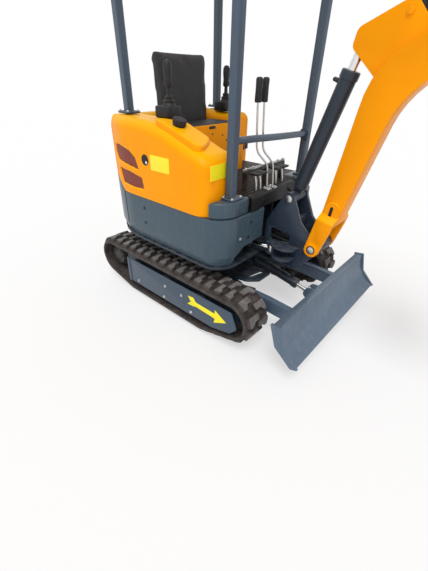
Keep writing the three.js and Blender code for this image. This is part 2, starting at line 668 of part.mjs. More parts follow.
const rightHoodProfile = (inset) => outline([
  [HOOD_SPLIT + inset, SKIRT_TOP - 40], [HOOD_FRONT - inset, SKIRT_TOP - 40],
  [NOSE.x - inset, NOSE.z - inset, 50], [SHOULDER.x, SHOULDER.z - inset, 60],
  [HOOD_SPLIT + inset, HOOD_TOP - inset],
]);
const leftHoodProfile = (inset) => outline([
  [HOOD_SPLIT + inset, SKIRT_TOP - 40], [LEFT_HOOD_FRONT - inset, SKIRT_TOP - 40],
  [LEFT_HOOD_FRONT - inset, 985 - inset, 50], [HOOD_SPLIT + inset, HOOD_TOP - inset],
]);
const rearHoodProfile = (inset) => outline([
  [-FAR, SKIRT_TOP - 40], [HOOD_SPLIT - SWEEP, SKIRT_TOP - 40],
  [HOOD_SPLIT - SWEEP, HOOD_TOP - inset], [-580, 985 - inset, 40], [-655 + inset, 900, 60],
  [-660 + inset, 760], [-FAR, 700],
]);
const sideRegion = (sign) => (inset) => {
  const ys = [sign * (HOOD_INNER_Y + inset), sign * FAR].sort((a, b) => a - b);
  return [[HOOD_SPLIT + inset, FAR], ys, [0, FAR]];
};
piece(house, 'hood_right', hood(rightHoodProfile, sideRegion(-1)), YELLOW);
piece(house, 'hood_left', hood(leftHoodProfile, sideRegion(1)), YELLOW);

const CAP_HEIGHT = 30;
const capSlope = Math.atan2(SHOULDER.z - NOSE.z, NOSE.x - SHOULDER.x);
const cap = { x: 80, y: -352 };
const capSeat = SHOULDER.z - (cap.x - SHOULDER.x) * Math.tan(capSlope);
piece(house, 'fuel_cap', new THREE.CylinderGeometry(34, 34, CAP_HEIGHT, 16)
  .rotateX(Math.PI / 2).translate(0, 0, CAP_HEIGHT / 2 + SEAT).rotateY(capSlope)
  .translate(cap.x, cap.y, capSeat), BLACK);

const FLOOR_SHEET = 10;
const LEFT_PAD_REAR = HOOD_FRONT - 40;
piece(house, 'floor_plate', join(
  box([LEFT_HOOD_FRONT + SEAT, LEFT_PAD_REAR - SEAT], [HOOD_INNER_Y - 1, 400], [FLOOR_TOP - FLOOR_SHEET, FLOOR_TOP]),
  box([-130, 402], [-HOOD_INNER_Y + SEAT, HOOD_INNER_Y], [FLOOR_TOP - FLOOR_SHEET, FLOOR_TOP]),
  box([384, 392], [-HOOD_INNER_Y + SEAT, HOOD_INNER_Y], [SKIRT_TOP + SEAT, FLOOR_TOP - 1]),
  box([-120, LEFT_PAD_REAR - SEAT], [388, 396], [SKIRT_TOP + SEAT, FLOOR_TOP - 1]),
), BLACK);

/** The raised corner that carries a front post, from its rear face to the front of the house. */
const postPad = (rear) => common(
  houseBlock(1, [SKIRT_TOP + SEAT, PAD_TOP]),
  box([rear, FAR], [-FAR, -HOOD_INNER_Y - 7], [0, FAR]),
);
piece(house, 'post_pad_right', postPad(HOOD_FRONT + SEAT), SLATE);
piece(house, 'post_pad_left', mirrored(postPad(LEFT_PAD_REAR)), SLATE);

piece(house, 'engine', box(ENGINE.x, ENGINE.y, [platformPlate[1] + SEAT, ENGINE.top]), IRON);

// ---------------------------------------------------------------------------------------------
// Seat: a base over the engine bay, a cushion and a back
// ---------------------------------------------------------------------------------------------

const SEAT_FRONT = 10;
const SEAT_HALF = 200;
const SEAT_BASE_TOP = 880;
piece(house, 'seat_base', cut(
  join(
    box([-240, SEAT_FRONT], [-SEAT_HALF, SEAT_HALF], [FLOOR_TOP + SEAT, SEAT_BASE_TOP]),
    box([HOOD_SPLIT + 2, -239], [-HOOD_INNER_Y + SEAT, HOOD_INNER_Y - SEAT], [SEAT_BASE_TOP - 8, SEAT_BASE_TOP]),
  ),
  box([-236, SEAT_FRONT - 6], [-SEAT_HALF + 6, SEAT_HALF - 6], [FLOOR_TOP - 1, SEAT_BASE_TOP - 8]),
), BLACK);
piece(house, 'seat_cushion', upright(outline([
  [-225, -190, 40], [0, -190, 60], [0, 190, 60], [-225, 190, 40],
]), [SEAT_BASE_TOP + SEAT, SEAT_BASE_TOP + 85]), VINYL);
piece(house, 'seat_back', across(outline([
  [-300, SEAT_BASE_TOP + SEAT, 10], [-228, SEAT_BASE_TOP + SEAT, 10], [-262, 1290, 30], [-330, 1290, 30],
]), [-185, 185]), VINYL);

// ---------------------------------------------------------------------------------------------
// Canopy: four posts, a rail between the front pair, and the roof
// ---------------------------------------------------------------------------------------------

for (const [side, sign] of [['right', -1], ['left', 1]]) {
  const half = POST_SIZE / 2;
  const y = sign * POST_Y;
  piece(house, `front_post_${side}`, join(
    box([POST_X - half, POST_X + half], [y - half, y + half], [PAD_TOP + SEAT, ROOF_SEAT - SEAT]),
    box([POST_X - 24, POST_X + 44], [y - 40, y + 40], [PAD_TOP + SEAT, PAD_TOP + 10]),
  ), SLATE);
  const rearY = sign * REAR_POST_Y;
  piece(house, `rear_post_${side}`, join(
    box([REAR_POST_X - half, REAR_POST_X + half], [rearY - half, rearY + half],
      [HOOD_TOP + 1, ROOF_SEAT - SEAT]),
    box([REAR_POST_X - 42, REAR_POST_X + 42], [rearY - 40, rearY + 40], [HOOD_TOP + SEAT, HOOD_TOP + 11]),
  ), SLATE);
}
const RAIL_RADIUS = 15;
const railEnd = POST_Y - POST_SIZE / 2 - 1.2;
piece(house, 'front_rail', tube([
  point(POST_X, -railEnd, 950), point(POST_X + 4, -60, 940), point(POST_X, railEnd, 926),
], RAIL_RADIUS, 90, 12), SLATE);
const ROOF = { x: [-430, 470], half: 445, wall: 5, step: 18 };
/** The roof's outer block: a low tray, and a raised middle on it, both drawn in by a wall. */
const roofBlock = (inset, bottom) => {
  const plan = (margin, radius) => outline([
    [ROOF.x[0] + margin, -ROOF.half + margin, radius], [ROOF.x[1] - margin, -ROOF.half + margin, radius],
    [ROOF.x[1] - margin, ROOF.half - margin, radius], [ROOF.x[0] + margin, ROOF.half - margin, radius],
  ]);
  const rim = ROOF_BOTTOM + ROOF_THICKNESS - ROOF.step;
  return join(
    upright(plan(inset, 70 - inset), [bottom, rim - inset]),
    upright(plan(42 + inset, 60 - inset), [bottom, rim + ROOF.step - inset]),
  );
};
piece(house, 'canopy_roof', join(
  cut(roofBlock(0, ROOF_BOTTOM), roofBlock(ROOF.wall, ROOF_BOTTOM - 1)),
  ...[POST_X, REAR_POST_X].map((x) => box(
    [x - 24, x + 24], [-ROOF.half + 3, ROOF.half - 3], [ROOF_SEAT, ROOF_SEAT + 30],
  )),
), YELLOW);

// ---------------------------------------------------------------------------------------------
// Controls: two travel levers and their pedals on a cross shaft, and a stick on each console
// ---------------------------------------------------------------------------------------------

const SHAFT = { x: 300, z: 790 };
const floorSeat = FLOOR_TOP + SEAT;
piece(house, 'pedal_shaft', join(
  barY(9, [-165, 190], SHAFT, 12),
  ...[-150, 20, 175].map((y) => box([SHAFT.x - 14, SHAFT.x + 14], [y - 5, y + 5], [floorSeat, SHAFT.z])),
), IRON);
for (const [side, y] of [['right', -62], ['left', -12]]) {
  piece(house, `travel_lever_${side}`, join(
    tube([
      point(372, y, floorSeat + 4), point(360, y, 820), point(312, y - 28, 880), point(298, y - 34, 1130),
    ], 8, 24, 12),
    box([352, 392], [y - 16, y + 16], [floorSeat, FLOOR_TOP + 12]),
    barZ(15, [1080, 1175], { x: 300, y: y - 33 }, 12),
  ), STEEL);
}
for (const [side, y, front, seat] of [['right', -282, -70, 1004], ['left', 282, -200, 999]]) {
  piece(house, `control_stick_${side}`, join(
    upright(outline([
      [front - 60, y - 45, 14], [front + 40, y - 45, 14], [front + 40, y + 45, 14], [front - 60, y + 45, 14],
    ]), [seat, seat + 50]),
    barZ(9, [seat + 49, seat + 164], { x: front, y }, 12),
    barZ(20, [seat + 124, seat + 229], { x: front, y }, 12),
  ), BLACK);
}

// ---------------------------------------------------------------------------------------------
// Rear hood: the engine cover, hinged along its top front edge
// ---------------------------------------------------------------------------------------------

const REAR_HINGE = { x: HOOD_SPLIT - SWEEP, z: HOOD_TOP };
const rearHood = body('rear_hood', REAR_HINGE);
piece(rearHood, 'rear_hood_panel', hood(rearHoodProfile, () => [[-FAR, HOOD_SPLIT - SWEEP], [-FAR, FAR], [0, FAR]])
  .translate(-REAR_HINGE.x, 0, -REAR_HINGE.z), YELLOW);

// ---------------------------------------------------------------------------------------------
// Swing bracket: two plates on a kingpin, between the platform's lugs
// ---------------------------------------------------------------------------------------------

const bracket = body('swing_bracket', { x: KINGPIN_X, z: 0 });
const fromPin = (x, z) => [x - KINGPIN_X, z];
const bracketSide = new THREE.Shape();
bracketSide.moveTo(...fromPin(395, 408));
bracketSide.lineTo(...fromPin(550, 408));
bracketSide.lineTo(...fromPin(555, 349));
bracketSide.lineTo(...fromPin(598, 349));
bracketSide.lineTo(...fromPin(696, 466));
bracketSide.absarc(BOOM_FOOT.x - KINGPIN_X, BOOM_FOOT.z, 34, -0.6, 1.9, false);
bracketSide.quadraticCurveTo(...fromPin(560, 590), ...fromPin(541, 676));
bracketSide.absarc(BRACKET_TOP_PIN.x - KINGPIN_X, BRACKET_TOP_PIN.z, 31, -0.1, 2.5, false);
bracketSide.lineTo(...fromPin(395, 559));
const windowShape = outline([
  [...fromPin(424, 452), 12], [...fromPin(540, 452), 12], [...fromPin(540, 520), 12], [...fromPin(424, 532), 12],
]);
const plateInner = BRACKET_OUTER - BRACKET_PLATE;
piece(bracket, 'swing_bracket_frame', cut(
  join(
    ...pairAcross(bracketSide, [plateInner, BRACKET_OUTER]),
    box([-85, 70], [-plateInner - 1, plateInner + 1], [408, 426]),
    box([72, 120], [-BRACKET_OUTER, BRACKET_OUTER], [LOWER_LUG[1] + SIDE_PLAY + 2, 420]),
    upright(outline([
      [-54, -54, 53], [90, -54], [90, 54], [-54, 54, 53],
    ]), [LOWER_LUG[1] + SIDE_PLAY, UPPER_LUG[0] - SIDE_PLAY]),
    barZ(KINGPIN_RADIUS, [LOWER_LUG[0] - 6, 420], { x: 0, y: 0 }, 24),
    box([58, 76], [-plateInner - 1, plateInner + 1], [540, 600]),
    barY(34, [-plateInner - 1, plateInner + 1], { x: BOOM_FOOT.x - KINGPIN_X, z: BOOM_FOOT.z }, 16),
    barY(FOOT_PIN_RADIUS, [-BOOM_FOOT_HALF_WIDTH - 6, BOOM_FOOT_HALF_WIDTH + 6],
      { x: BOOM_FOOT.x - KINGPIN_X, z: BOOM_FOOT.z }, 16),
    barY(BOOM_CYLINDER.pin, [-plateInner - 1, plateInner + 1],
      { x: BRACKET_TOP_PIN.x - KINGPIN_X, z: BRACKET_TOP_PIN.z }, 12),
    // the ear for the swing cylinder's eye, above and below it
    ...[[SWING_CYLINDER_Z - CYLINDER_EYE_HALF - SIDE_PLAY - 10, SWING_CYLINDER_Z - CYLINDER_EYE_HALF - SIDE_PLAY],
      [SWING_CYLINDER_Z + CYLINDER_EYE_HALF + SIDE_PLAY, SWING_CYLINDER_Z + CYLINDER_EYE_HALF + SIDE_PLAY + 10],
    ].map((heights) => upright(outline([
      [SWING_LEVER.x - 24, -BRACKET_OUTER + 4], [SWING_LEVER.x - 24, SWING_LEVER.y - 24, 22],
      [SWING_LEVER.x + 24, SWING_LEVER.y - 24, 22], [SWING_LEVER.x + 44, -BRACKET_OUTER + 4],
    ]), heights)),
    box([SWING_LEVER.x - 24, SWING_LEVER.x + 44], [-BRACKET_OUTER - 4, -BRACKET_OUTER + 4],
      [SWING_CYLINDER_Z - CYLINDER_EYE_HALF - SIDE_PLAY - 10, SWING_CYLINDER_Z + CYLINDER_EYE_HALF + SIDE_PLAY + 10]),
  ),
  across(windowShape, [-BRACKET_OUTER - 1, BRACKET_OUTER + 1]),
), DARK);

makeCylinder(
  'swing_cylinder',
  point(SWING_BASE.x, SWING_BASE.y, SWING_CYLINDER_Z),
  point(KINGPIN_X + SWING_LEVER.x, SWING_LEVER.y, SWING_CYLINDER_Z),
  point(0, 0, 1), SWING_CYLINDER,
);

// ---------------------------------------------------------------------------------------------
// Boom: a box section with a forked foot, a bend, lugs on its back and a forked tip
// ---------------------------------------------------------------------------------------------

const boom = body('boom', BOOM_FOOT, BOOM_ANGLE);
const BEND_Z = -12;
/** A point of the upper half: how far past the bend, and how far above its middle line. */
function upperHalf(along, above) {
  const [c, s] = [Math.cos(radians(BOOM_BEND)), Math.sin(radians(BOOM_BEND))];
  return [BOOM_LOWER + along * c + above * s, BEND_Z - along * s + above * c];
}
const [tipX, tipZ] = upperHalf(BOOM_UPPER, 0);
const boomTip = { x: tipX, z: tipZ };
const boomSide = new THREE.Shape();
boomSide.absarc(0, 0, 36, 1.75, 4.45, false);
boomSide.lineTo(110, -48);
boomSide.lineTo(270, -55);
boomSide.lineTo(560, -70);
boomSide.quadraticCurveTo(660, -76, ...upperHalf(130, -62));
boomSide.lineTo(...upperHalf(BOOM_UPPER - 60, -42));
boomSide.lineTo(...upperHalf(BOOM_UPPER - 4, -42));
boomSide.absarc(tipX, tipZ, 42, radians(-BOOM_BEND - 80), radians(-BOOM_BEND + 90), false);
boomSide.lineTo(...upperHalf(BOOM_UPPER - 60, 44));
boomSide.lineTo(...upperHalf(80, 68));
boomSide.quadraticCurveTo(720, 58, 590, 47);
boomSide.lineTo(160, 29);
const boomPlan = (() => {
  const [wide, slim] = [BOOM_FOOT_HALF_WIDTH, BOOM_HALF_WIDTH];
  return outline([
    [-60, -wide], [152, -wide, 14], [182, -slim, 18], [1600, -slim], [1600, slim], [182, slim, 18],
    [152, wide, 14], [-60, wide],
  ]);
})();
const footSlot = BRACKET_OUTER + SIDE_PLAY;
const lugInner = CYLINDER_EYE_HALF + SIDE_PLAY;
const boomLugs = outline([
  [680, 20], [BOOM_LUG_EYE.x - 26, BOOM_LUG_EYE.z + 26, 24], [BOOM_LUG_EYE.x + 30, BOOM_LUG_EYE.z + 26, 26],
  [ARM_CYLINDER_BASE.x + 20, ARM_CYLINDER_BASE.z + 30, 24], [ARM_CYLINDER_BASE.x + 34, ARM_CYLINDER_BASE.z - 4, 16],
  [ARM_CYLINDER_BASE.x - 12, ARM_CYLINDER_BASE.z - 64], [ARM_CYLINDER_BASE.x - 40, ARM_CYLINDER_BASE.z - 95],
  [ARM_CYLINDER_BASE.x - 100, ARM_CYLINDER_BASE.z - 60], [700, 0],
].reverse());
piece(boom, 'boom_frame', cut(
  join(
    cut(
      common(
        across(boomSide, [-BOOM_FOOT_HALF_WIDTH, BOOM_FOOT_HALF_WIDTH], 5),
        upright(boomPlan, [-FAR, FAR]),
      ),
      box([-60, 60], [-footSlot, footSlot], [-70, 70]),
      barY(88, [-footSlot, footSlot], { x: 60, z: -8 }),
      barY(94, [-ARM_HALF_WIDTH - SIDE_PLAY, ARM_HALF_WIDTH + SIDE_PLAY], boomTip, 24),
    ),
    ...pairAcross(boomLugs, [lugInner, lugInner + 15]),
    barY(ARM_CYLINDER.pin, [-lugInner - 20, lugInner + 20], ARM_CYLINDER_BASE, 12),
    barY(16, [-BOOM_HALF_WIDTH - 8, BOOM_HALF_WIDTH + 8], boomTip, 16),
  ),
  barY(FOOT_PIN_RADIUS + PIN_PLAY, [-FAR, FAR], { x: 0, z: 0 }, 16),
), YELLOW);

const boomEye = placeOf(boom, BOOM_LUG_EYE);
makeCylinder(
  'boom_cylinder', point(BRACKET_TOP_PIN.x, 0, BRACKET_TOP_PIN.z), boomEye, ACROSS, BOOM_CYLINDER,
  plateInner - SIDE_PLAY,
);

// ---------------------------------------------------------------------------------------------
// Arm, with lugs for its own cylinder and for the bucket's
// ---------------------------------------------------------------------------------------------

const armPin = placeOf(boom, boomTip);
const arm = body('arm', armPin, ARM_ANGLE);
const armEye = polar({ x: 0, z: 0 }, ARM_EYE_ANGLE, ARM_EYE_RADIUS);
const armSide = outline([
  [-38, -44, 34], [330, -52, 40], [ARM_LENGTH - 60, -34, 20], [ARM_LENGTH + 32, -34, 30],
  [ARM_LENGTH + 32, 32, 30], [ARM_LENGTH - 100, 38, 40], [230, 58, 40],
  [BUCKET_CYLINDER_BASE.x + 32, BUCKET_CYLINDER_BASE.z - 44, 10],
  [BUCKET_CYLINDER_BASE.x + 18, BUCKET_CYLINDER_BASE.z + 22, 20],
  [BUCKET_CYLINDER_BASE.x - 24, BUCKET_CYLINDER_BASE.z + 20, 20], [20, 84, 20],
  [armEye.x + 14, armEye.z + 32, 24], [armEye.x - 34, armEye.z + 6, 24], [-70, 10, 30],
]);
const rockerPin = { x: ARM_LENGTH - ROCKER_SPAN, z: 0 };
piece(arm, 'arm_frame', cut(
  join(
    cut(
      across(armSide, [-ARM_HALF_WIDTH, ARM_HALF_WIDTH], 5),
      box([-FAR, -52], [-lugInner, lugInner], [-FAR, FAR]),
      barY(46, [-lugInner, lugInner], BUCKET_CYLINDER_BASE),
    ),
    barY(BUCKET_CYLINDER.pin, [-ARM_HALF_WIDTH, ARM_HALF_WIDTH], BUCKET_CYLINDER_BASE, 12),
  ),
  barY(16 + PIN_PLAY, [-FAR, FAR], { x: 0, z: 0 }, 16),
  barY(15 + PIN_PLAY, [-FAR, FAR], rockerPin, 16),
  barY(14 + PIN_PLAY, [-FAR, FAR], { x: ARM_LENGTH, z: 0 }, 16),
), YELLOW);

makeCylinder(
  'arm_cylinder', placeOf(boom, ARM_CYLINDER_BASE), placeOf(arm, armEye), ACROSS, ARM_CYLINDER,
);

// ---------------------------------------------------------------------------------------------
// Bucket, and the rocker and link that turn it
// ---------------------------------------------------------------------------------------------

/** The angle of the bucket's link pin from the arm, when the rocker stands at an angle. */
function leverAngle(rockerDegrees) {
  const end = polar({ x: -ROCKER_SPAN, z: 0 }, rockerDegrees, ROCKER_LENGTH);
  const reach = Math.hypot(end.x, end.z);
  const corner = Math.acos((BUCKET_LEVER ** 2 + reach ** 2 - LINK_LENGTH ** 2) / (2 * BUCKET_LEVER * reach));
  return THREE.MathUtils.radToDeg(Math.atan2(end.z, end.x) - corner);
}

const LEVER_ANGLE = leverAngle(ROCKER_ANGLE);
const bucketPin = placeOf(arm, { x: ARM_LENGTH });
const rockerAt = placeOf(arm, rockerPin);
const rockerEnd = placeOf(arm, polar(rockerPin, ROCKER_ANGLE, ROCKER_LENGTH));
const leverEnd = placeOf(arm, polar({ x: ARM_LENGTH, z: 0 }, LEVER_ANGLE, BUCKET_LEVER));

const bucket = body('bucket', bucketPin, ARM_ANGLE + LEVER_ANGLE - TIP_ANGLE);
const linkHole = polar({ x: 0, z: 0 }, TIP_ANGLE, BUCKET_LEVER);
const bucketSide = (inset) => {
  const shape = new THREE.Shape();
  shape.moveTo(54 + inset, -34);
  shape.lineTo(BUCKET_RADIUS - 40, inset ? -40 : -12);
  shape.lineTo(BUCKET_RADIUS - 24 - inset * 1.5, inset ? -30 : 0);
  shape.quadraticCurveTo(330 - inset, 200 - inset, 205, 250 - inset);
  shape.quadraticCurveTo(90 + inset, 290 - inset, 54 + inset, 160);
  return shape;
};
const bucketHalf = BUCKET_WIDTH / 2;
const earInner = ARM_HALF_WIDTH + SIDE_PLAY;
const ears = outline([
  [-24, -26, 24], [60, -30], [60, 175], [linkHole.x - 14, linkHole.z + 26, 22], [linkHole.x - 24, linkHole.z - 14, 22],
  [-30, 30, 20],
]);
piece(bucket, 'bucket_shell', join(
  cut(
    across(bucketSide(0), [-bucketHalf, bucketHalf], 8),
    across(bucketSide(BUCKET_WALL), [-bucketHalf + BUCKET_WALL, bucketHalf - BUCKET_WALL], 8),
  ),
  ...pairAcross(ears, [earInner, earInner + EAR_THICKNESS]),
  barY(14, [-earInner - EAR_THICKNESS - 5, earInner + EAR_THICKNESS + 5], { x: 0, z: 0 }, 16),
  ...[-1, -0.36, 0.36, 1].map((share) => {
    const y = share * (bucketHalf - 24);
    return across(outline([
      [BUCKET_RADIUS - 70, 12], [BUCKET_RADIUS - 70, -14], [BUCKET_RADIUS, -8], [BUCKET_RADIUS - 30, 16],
    ].reverse()), [y - 20, y + 20]);
  }),
), DARK);

const rocker = body('rocker', rockerAt, ARM_ANGLE + ROCKER_ANGLE);
const rockerInner = ARM_HALF_WIDTH + SIDE_PLAY;
const rockerShape = outline([
  [-24, -24, 22], [ROCKER_LENGTH + 20, -20, 19], [ROCKER_LENGTH + 20, 20, 19], [-24, 24, 22],
]);
const linkPin = 12;
piece(rocker, 'rocker_link', cut(
  join(
    ...pairAcross(rockerShape, [rockerInner, rockerInner + ROCKER_THICKNESS]),
    barY(15, [-rockerInner - ROCKER_THICKNESS - 5, rockerInner + ROCKER_THICKNESS + 5], { x: 0, z: 0 }, 16),
  ),
  barY(linkPin + PIN_PLAY, [-FAR, FAR], { x: ROCKER_LENGTH, z: 0 }, 12),
), DARK);

const linkDegrees = THREE.MathUtils.radToDeg(Math.atan2(leverEnd.z - rockerEnd.z, leverEnd.x - rockerEnd.x));
const link = body('link', rockerEnd, linkDegrees);
const linkOuter = ARM_HALF_WIDTH;
piece(link, 'bucket_link', join(
  ...pairAcross(outline([
    [-18, -18, 17], [LINK_LENGTH - 30, -16], [LINK_LENGTH - 30, 16], [-18, 18, 17],
  ]), [linkOuter - LINK_THICKNESS, linkOuter]),
  barY(18, [-linkOuter, linkOuter], { x: LINK_LENGTH, z: 0 }, 16),
  box([LINK_LENGTH - 50, LINK_LENGTH - 8], [-linkOuter, linkOuter], [-16, 16]),
  ...[-1, 1].map((sign) => barY(linkPin, [
    sign * (linkOuter - 2), sign * (rockerInner + ROCKER_THICKNESS + 3),
  ].sort((a, b) => a - b), { x: 0, z: 0 }, 12)),
), IRON);

makeCylinder(
  'bucket_cylinder', placeOf(arm, BUCKET_CYLINDER_BASE), rockerEnd, ACROSS, BUCKET_CYLINDER,
);

// ---------------------------------------------------------------------------------------------
// The origin goes under the middle of the machine's box
// ---------------------------------------------------------------------------------------------

machine.updateMatrixWorld(true);
const middle = new THREE.Box3().setFromObject(machine, true).getCenter(new THREE.Vector3());
machine.position.x = -middle.x;
machine.updateMatrixWorld(true);

export default machine;
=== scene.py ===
import json
import math

import bmesh
import bpy
import numpy as np
from mathutils import Matrix, Vector


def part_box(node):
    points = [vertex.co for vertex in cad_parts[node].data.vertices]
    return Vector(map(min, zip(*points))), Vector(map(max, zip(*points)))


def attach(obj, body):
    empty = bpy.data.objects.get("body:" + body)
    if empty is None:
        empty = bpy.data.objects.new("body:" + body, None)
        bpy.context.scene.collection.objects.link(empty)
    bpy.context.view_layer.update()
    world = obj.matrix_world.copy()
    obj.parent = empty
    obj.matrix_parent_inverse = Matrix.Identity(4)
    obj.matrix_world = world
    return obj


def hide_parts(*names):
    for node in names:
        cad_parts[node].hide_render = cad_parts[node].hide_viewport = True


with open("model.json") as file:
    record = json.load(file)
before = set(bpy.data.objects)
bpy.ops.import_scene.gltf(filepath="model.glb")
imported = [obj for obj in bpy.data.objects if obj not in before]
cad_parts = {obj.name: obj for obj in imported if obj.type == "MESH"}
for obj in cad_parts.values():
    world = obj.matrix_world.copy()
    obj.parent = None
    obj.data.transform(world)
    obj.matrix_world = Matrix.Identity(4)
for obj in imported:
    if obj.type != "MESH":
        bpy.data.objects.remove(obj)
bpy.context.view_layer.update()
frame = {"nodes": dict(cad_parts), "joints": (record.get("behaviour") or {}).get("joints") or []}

# ---------------------------------------------------------------------------------------------
# Camera, light and floor
# The camera stands ahead of the machine's right corner at chest height and looks down on it.
# One broad soft sun and an even white sky light it; the floor is plain and pale.
# ---------------------------------------------------------------------------------------------

pins = {joint["name"]: Vector(joint["pos_m"]) for joint in frame["joints"] if "pos_m" in joint}
slew = pins["slew"]

YAW, PITCH, ROLL = 2.29057, -0.579309, 0.0187318    # radians
STAND_X, STAND_Y, STAND_Z = 1.22645, -1.41947, 1.17102    # metres from the slew axis
SENSOR, FOCAL_LENGTH = 36, 20.113975    # millimetres
ahead = Vector((math.cos(PITCH) * math.cos(YAW), math.cos(PITCH) * math.sin(YAW), math.sin(PITCH)))
level = ahead.cross(Vector((0, 0, 1))).normalized()
over = level.cross(ahead)
right = level * math.cos(ROLL) + over * math.sin(ROLL)
above = over * math.cos(ROLL) - level * math.sin(ROLL)
lens = bpy.data.cameras.new("camera")
lens.lens = FOCAL_LENGTH
lens.sensor_width = SENSOR
lens.clip_end = 200
camera = bpy.data.objects.new("camera", lens)
camera.matrix_world = Matrix.Translation(Vector((slew.x + STAND_X, STAND_Y, STAND_Z))) @ Matrix(
    (right, above, -ahead)).transposed().to_4x4()
bpy.context.scene.collection.objects.link(camera)
bpy.context.scene.camera = camera
bpy.context.scene.view_settings.view_transform = "Standard"

SKY = 0.62    # the sky's light on matt surfaces; seen by the camera, in a gloss or through glass it is 1
SUN_FROM = Vector((0.42, -0.62, 1.25))
sun = bpy.data.objects.new("sun", bpy.data.lights.new("sun", "SUN"))
sun.data.energy = 1.6
sun.data.angle = math.radians(28)
sun.rotation_euler = SUN_FROM.to_track_quat("Z", "Y").to_euler()
bpy.context.scene.collection.objects.link(sun)

world = bpy.data.worlds.new("studio")
bpy.context.scene.world = world
world.use_nodes = True
nodes, links = world.node_tree.nodes, world.node_tree.links
nodes["Background"].inputs["Color"].default_value = (1, 1, 1, 1)
rays = nodes.new("ShaderNodeLightPath")
seen = rays.outputs["Is Camera Ray"]
for kind in ("Is Transmission Ray", "Is Glossy Ray"):
    either = nodes.new("ShaderNodeMath")
    either.operation = "MAXIMUM"
    links.new(seen, either.inputs[0])
    links.new(rays.outputs[kind], either.inputs[1])
    seen = either.outputs[0]
strength = nodes.new("ShaderNodeMapRange")
strength.inputs["To Min"].default_value = SKY
strength.inputs["To Max"].default_value = 1
links.new(seen, strength.inputs["Value"])
links.new(strength.outputs[0], nodes["Background"].inputs["Strength"])

# ---------------------------------------------------------------------------------------------
# Tracks
# Two endless rubber belts, each moulded with two staggered rows of stepped lugs and a smooth side
# band. They stand on the ground round a sprocket, an idler and three rollers; dust sits on the lugs.
# ---------------------------------------------------------------------------------------------


def linear(code):
    """The colour #rrggbb as a shader writes it: each channel taken out of the screen's curve."""
    channels = np.array([int(code[i:i + 2], 16) for i in (1, 3, 5)]) / 255
    curve = np.where(channels <= 0.04045, channels / 12.92, ((channels + 0.055) / 1.055) ** 2.4)
    return (*curve, 1.0)


class Wire:
    """A socket of a finish; arithmetic on it adds the Math nodes."""

    def __init__(self, finish, socket):
        self.finish, self.socket = finish, socket

    def maths(self, operation, one, other):
        return self.finish.node("ShaderNodeMath", {"operation": operation}, {0: one, 1: other})

    def __add__(self, other):
        return self.maths("ADD", self, other)

    def __sub__(self, other):
        return self.maths("SUBTRACT", self, other)

    def __rsub__(self, other):
        return self.maths("SUBTRACT", other, self)

    def __mul__(self, other):
        return self.maths("MULTIPLY", self, other)

    def __pow__(self, other):
        return self.maths("POWER", self, other)

    __radd__, __rmul__ = __add__, __mul__

    def above(self, low, high):
        """0 up to low, 1 from high, and a straight climb between."""
        return self.finish.node("ShaderNodeMapRange", {}, {"Value": self, "From Min": low, "From Max": high})


class Finish:
    """A material made of nodes on the machine's own coordinates."""

    def __init__(self, name, **fixed):
        self.material = bpy.data.materials.new(name)
        self.material.use_nodes = True
        self.tree = self.material.node_tree
        self.shader = self.tree.nodes["Principled BSDF"]
        for socket, value in fixed.items():
            self.shader.inputs[socket.replace("_", " ")].default_value = value
        self.place = self.node("ShaderNodeTexCoord", {}, {}, "Object")

    def node(self, kind, settings, sockets, out=0):
        """Adds a node with its settings made first, then its sockets set or wired; gives one output."""
        node = self.tree.nodes.new(kind)
        for setting, value in settings.items():
            setattr(node, setting, value)
        for socket, value in sockets.items():
            self.feed(node.inputs[socket], value)
        return Wire(self, node.outputs[out])

    def feed(self, socket, value):
        if isinstance(value, Wire):
            self.tree.links.new(value.socket, socket)
        else:
            socket.default_value = value

    def noise(self, scale, detail=3, stretch=(1, 1, 1)):
        """Clouds of that many lumps to the metre, drawn out by stretch."""
        place = self.node("ShaderNodeVectorMath", {"operation": "MULTIPLY"}, {0: self.place, 1: stretch})
        return self.node("ShaderNodeTexNoise", {}, {"Vector": place, "Scale": scale, "Detail": detail})

    def blend(self, share, one, other):
        """One colour going over to another by share."""
        return self.node("ShaderNodeMix", {"data_type": "RGBA"}, {0: share, 6: one, 7: other}, 2)

    def upward(self):
        """1 on a face that looks up, 0 on a wall or an underside."""
        facing = self.node("ShaderNodeNewGeometry", {}, {}, "Normal")
        split = self.node("ShaderNodeSeparateXYZ", {}, {0: facing}, 2)
        return split.above(0.25, 0.95)

    def done(self, colour, roughness, height=None, depth=0.0005):
        """Wires colour, roughness and a bump of that depth in metres; gives the material."""
        self.feed(self.shader.inputs["Base Color"], colour)
        self.feed(self.shader.inputs["Roughness"], roughness)
        if height is not None:
            bump = self.node("ShaderNodeBump", {}, {"Height": height, "Distance": depth, "Strength": 0.6})
            self.feed(self.shader.inputs["Normal"], bump)
        return self.material


def shaped(points):
    """Millimetres from the slew axis, as the machine is dimensioned, to metres in the frame."""
    return np.asarray(points, float) / 1000 + (slew.x, 0, 0)


def measured(point):
    """The other way round: a point of the frame in millimetres from the slew axis."""
    return (np.array(point) - (slew.x, 0, 0)) * 1000


def rings(rows, ends="flat"):
    """A skin over rings of points, rows[ring, place, xyz]: each point is joined to its neighbours in
    the ring and in the next ring. Ends is flat for a face over the first and last ring, or loop."""
    count, places = rows.shape[:2]
    ring = np.arange(count if ends == "loop" else count - 1)[:, None]
    place = np.arange(places)[None, :]
    after, beside = (ring + 1) % count, (place + 1) % places
    quads = np.stack([ring * places + place, ring * places + beside,
                      after * places + beside, after * places + place], -1).reshape(-1, 4).tolist()
    if ends == "flat":
        quads += [list(range(places))[::-1], list(range((count - 1) * places, count * places))]
    return rows.reshape(-1, 3), quads


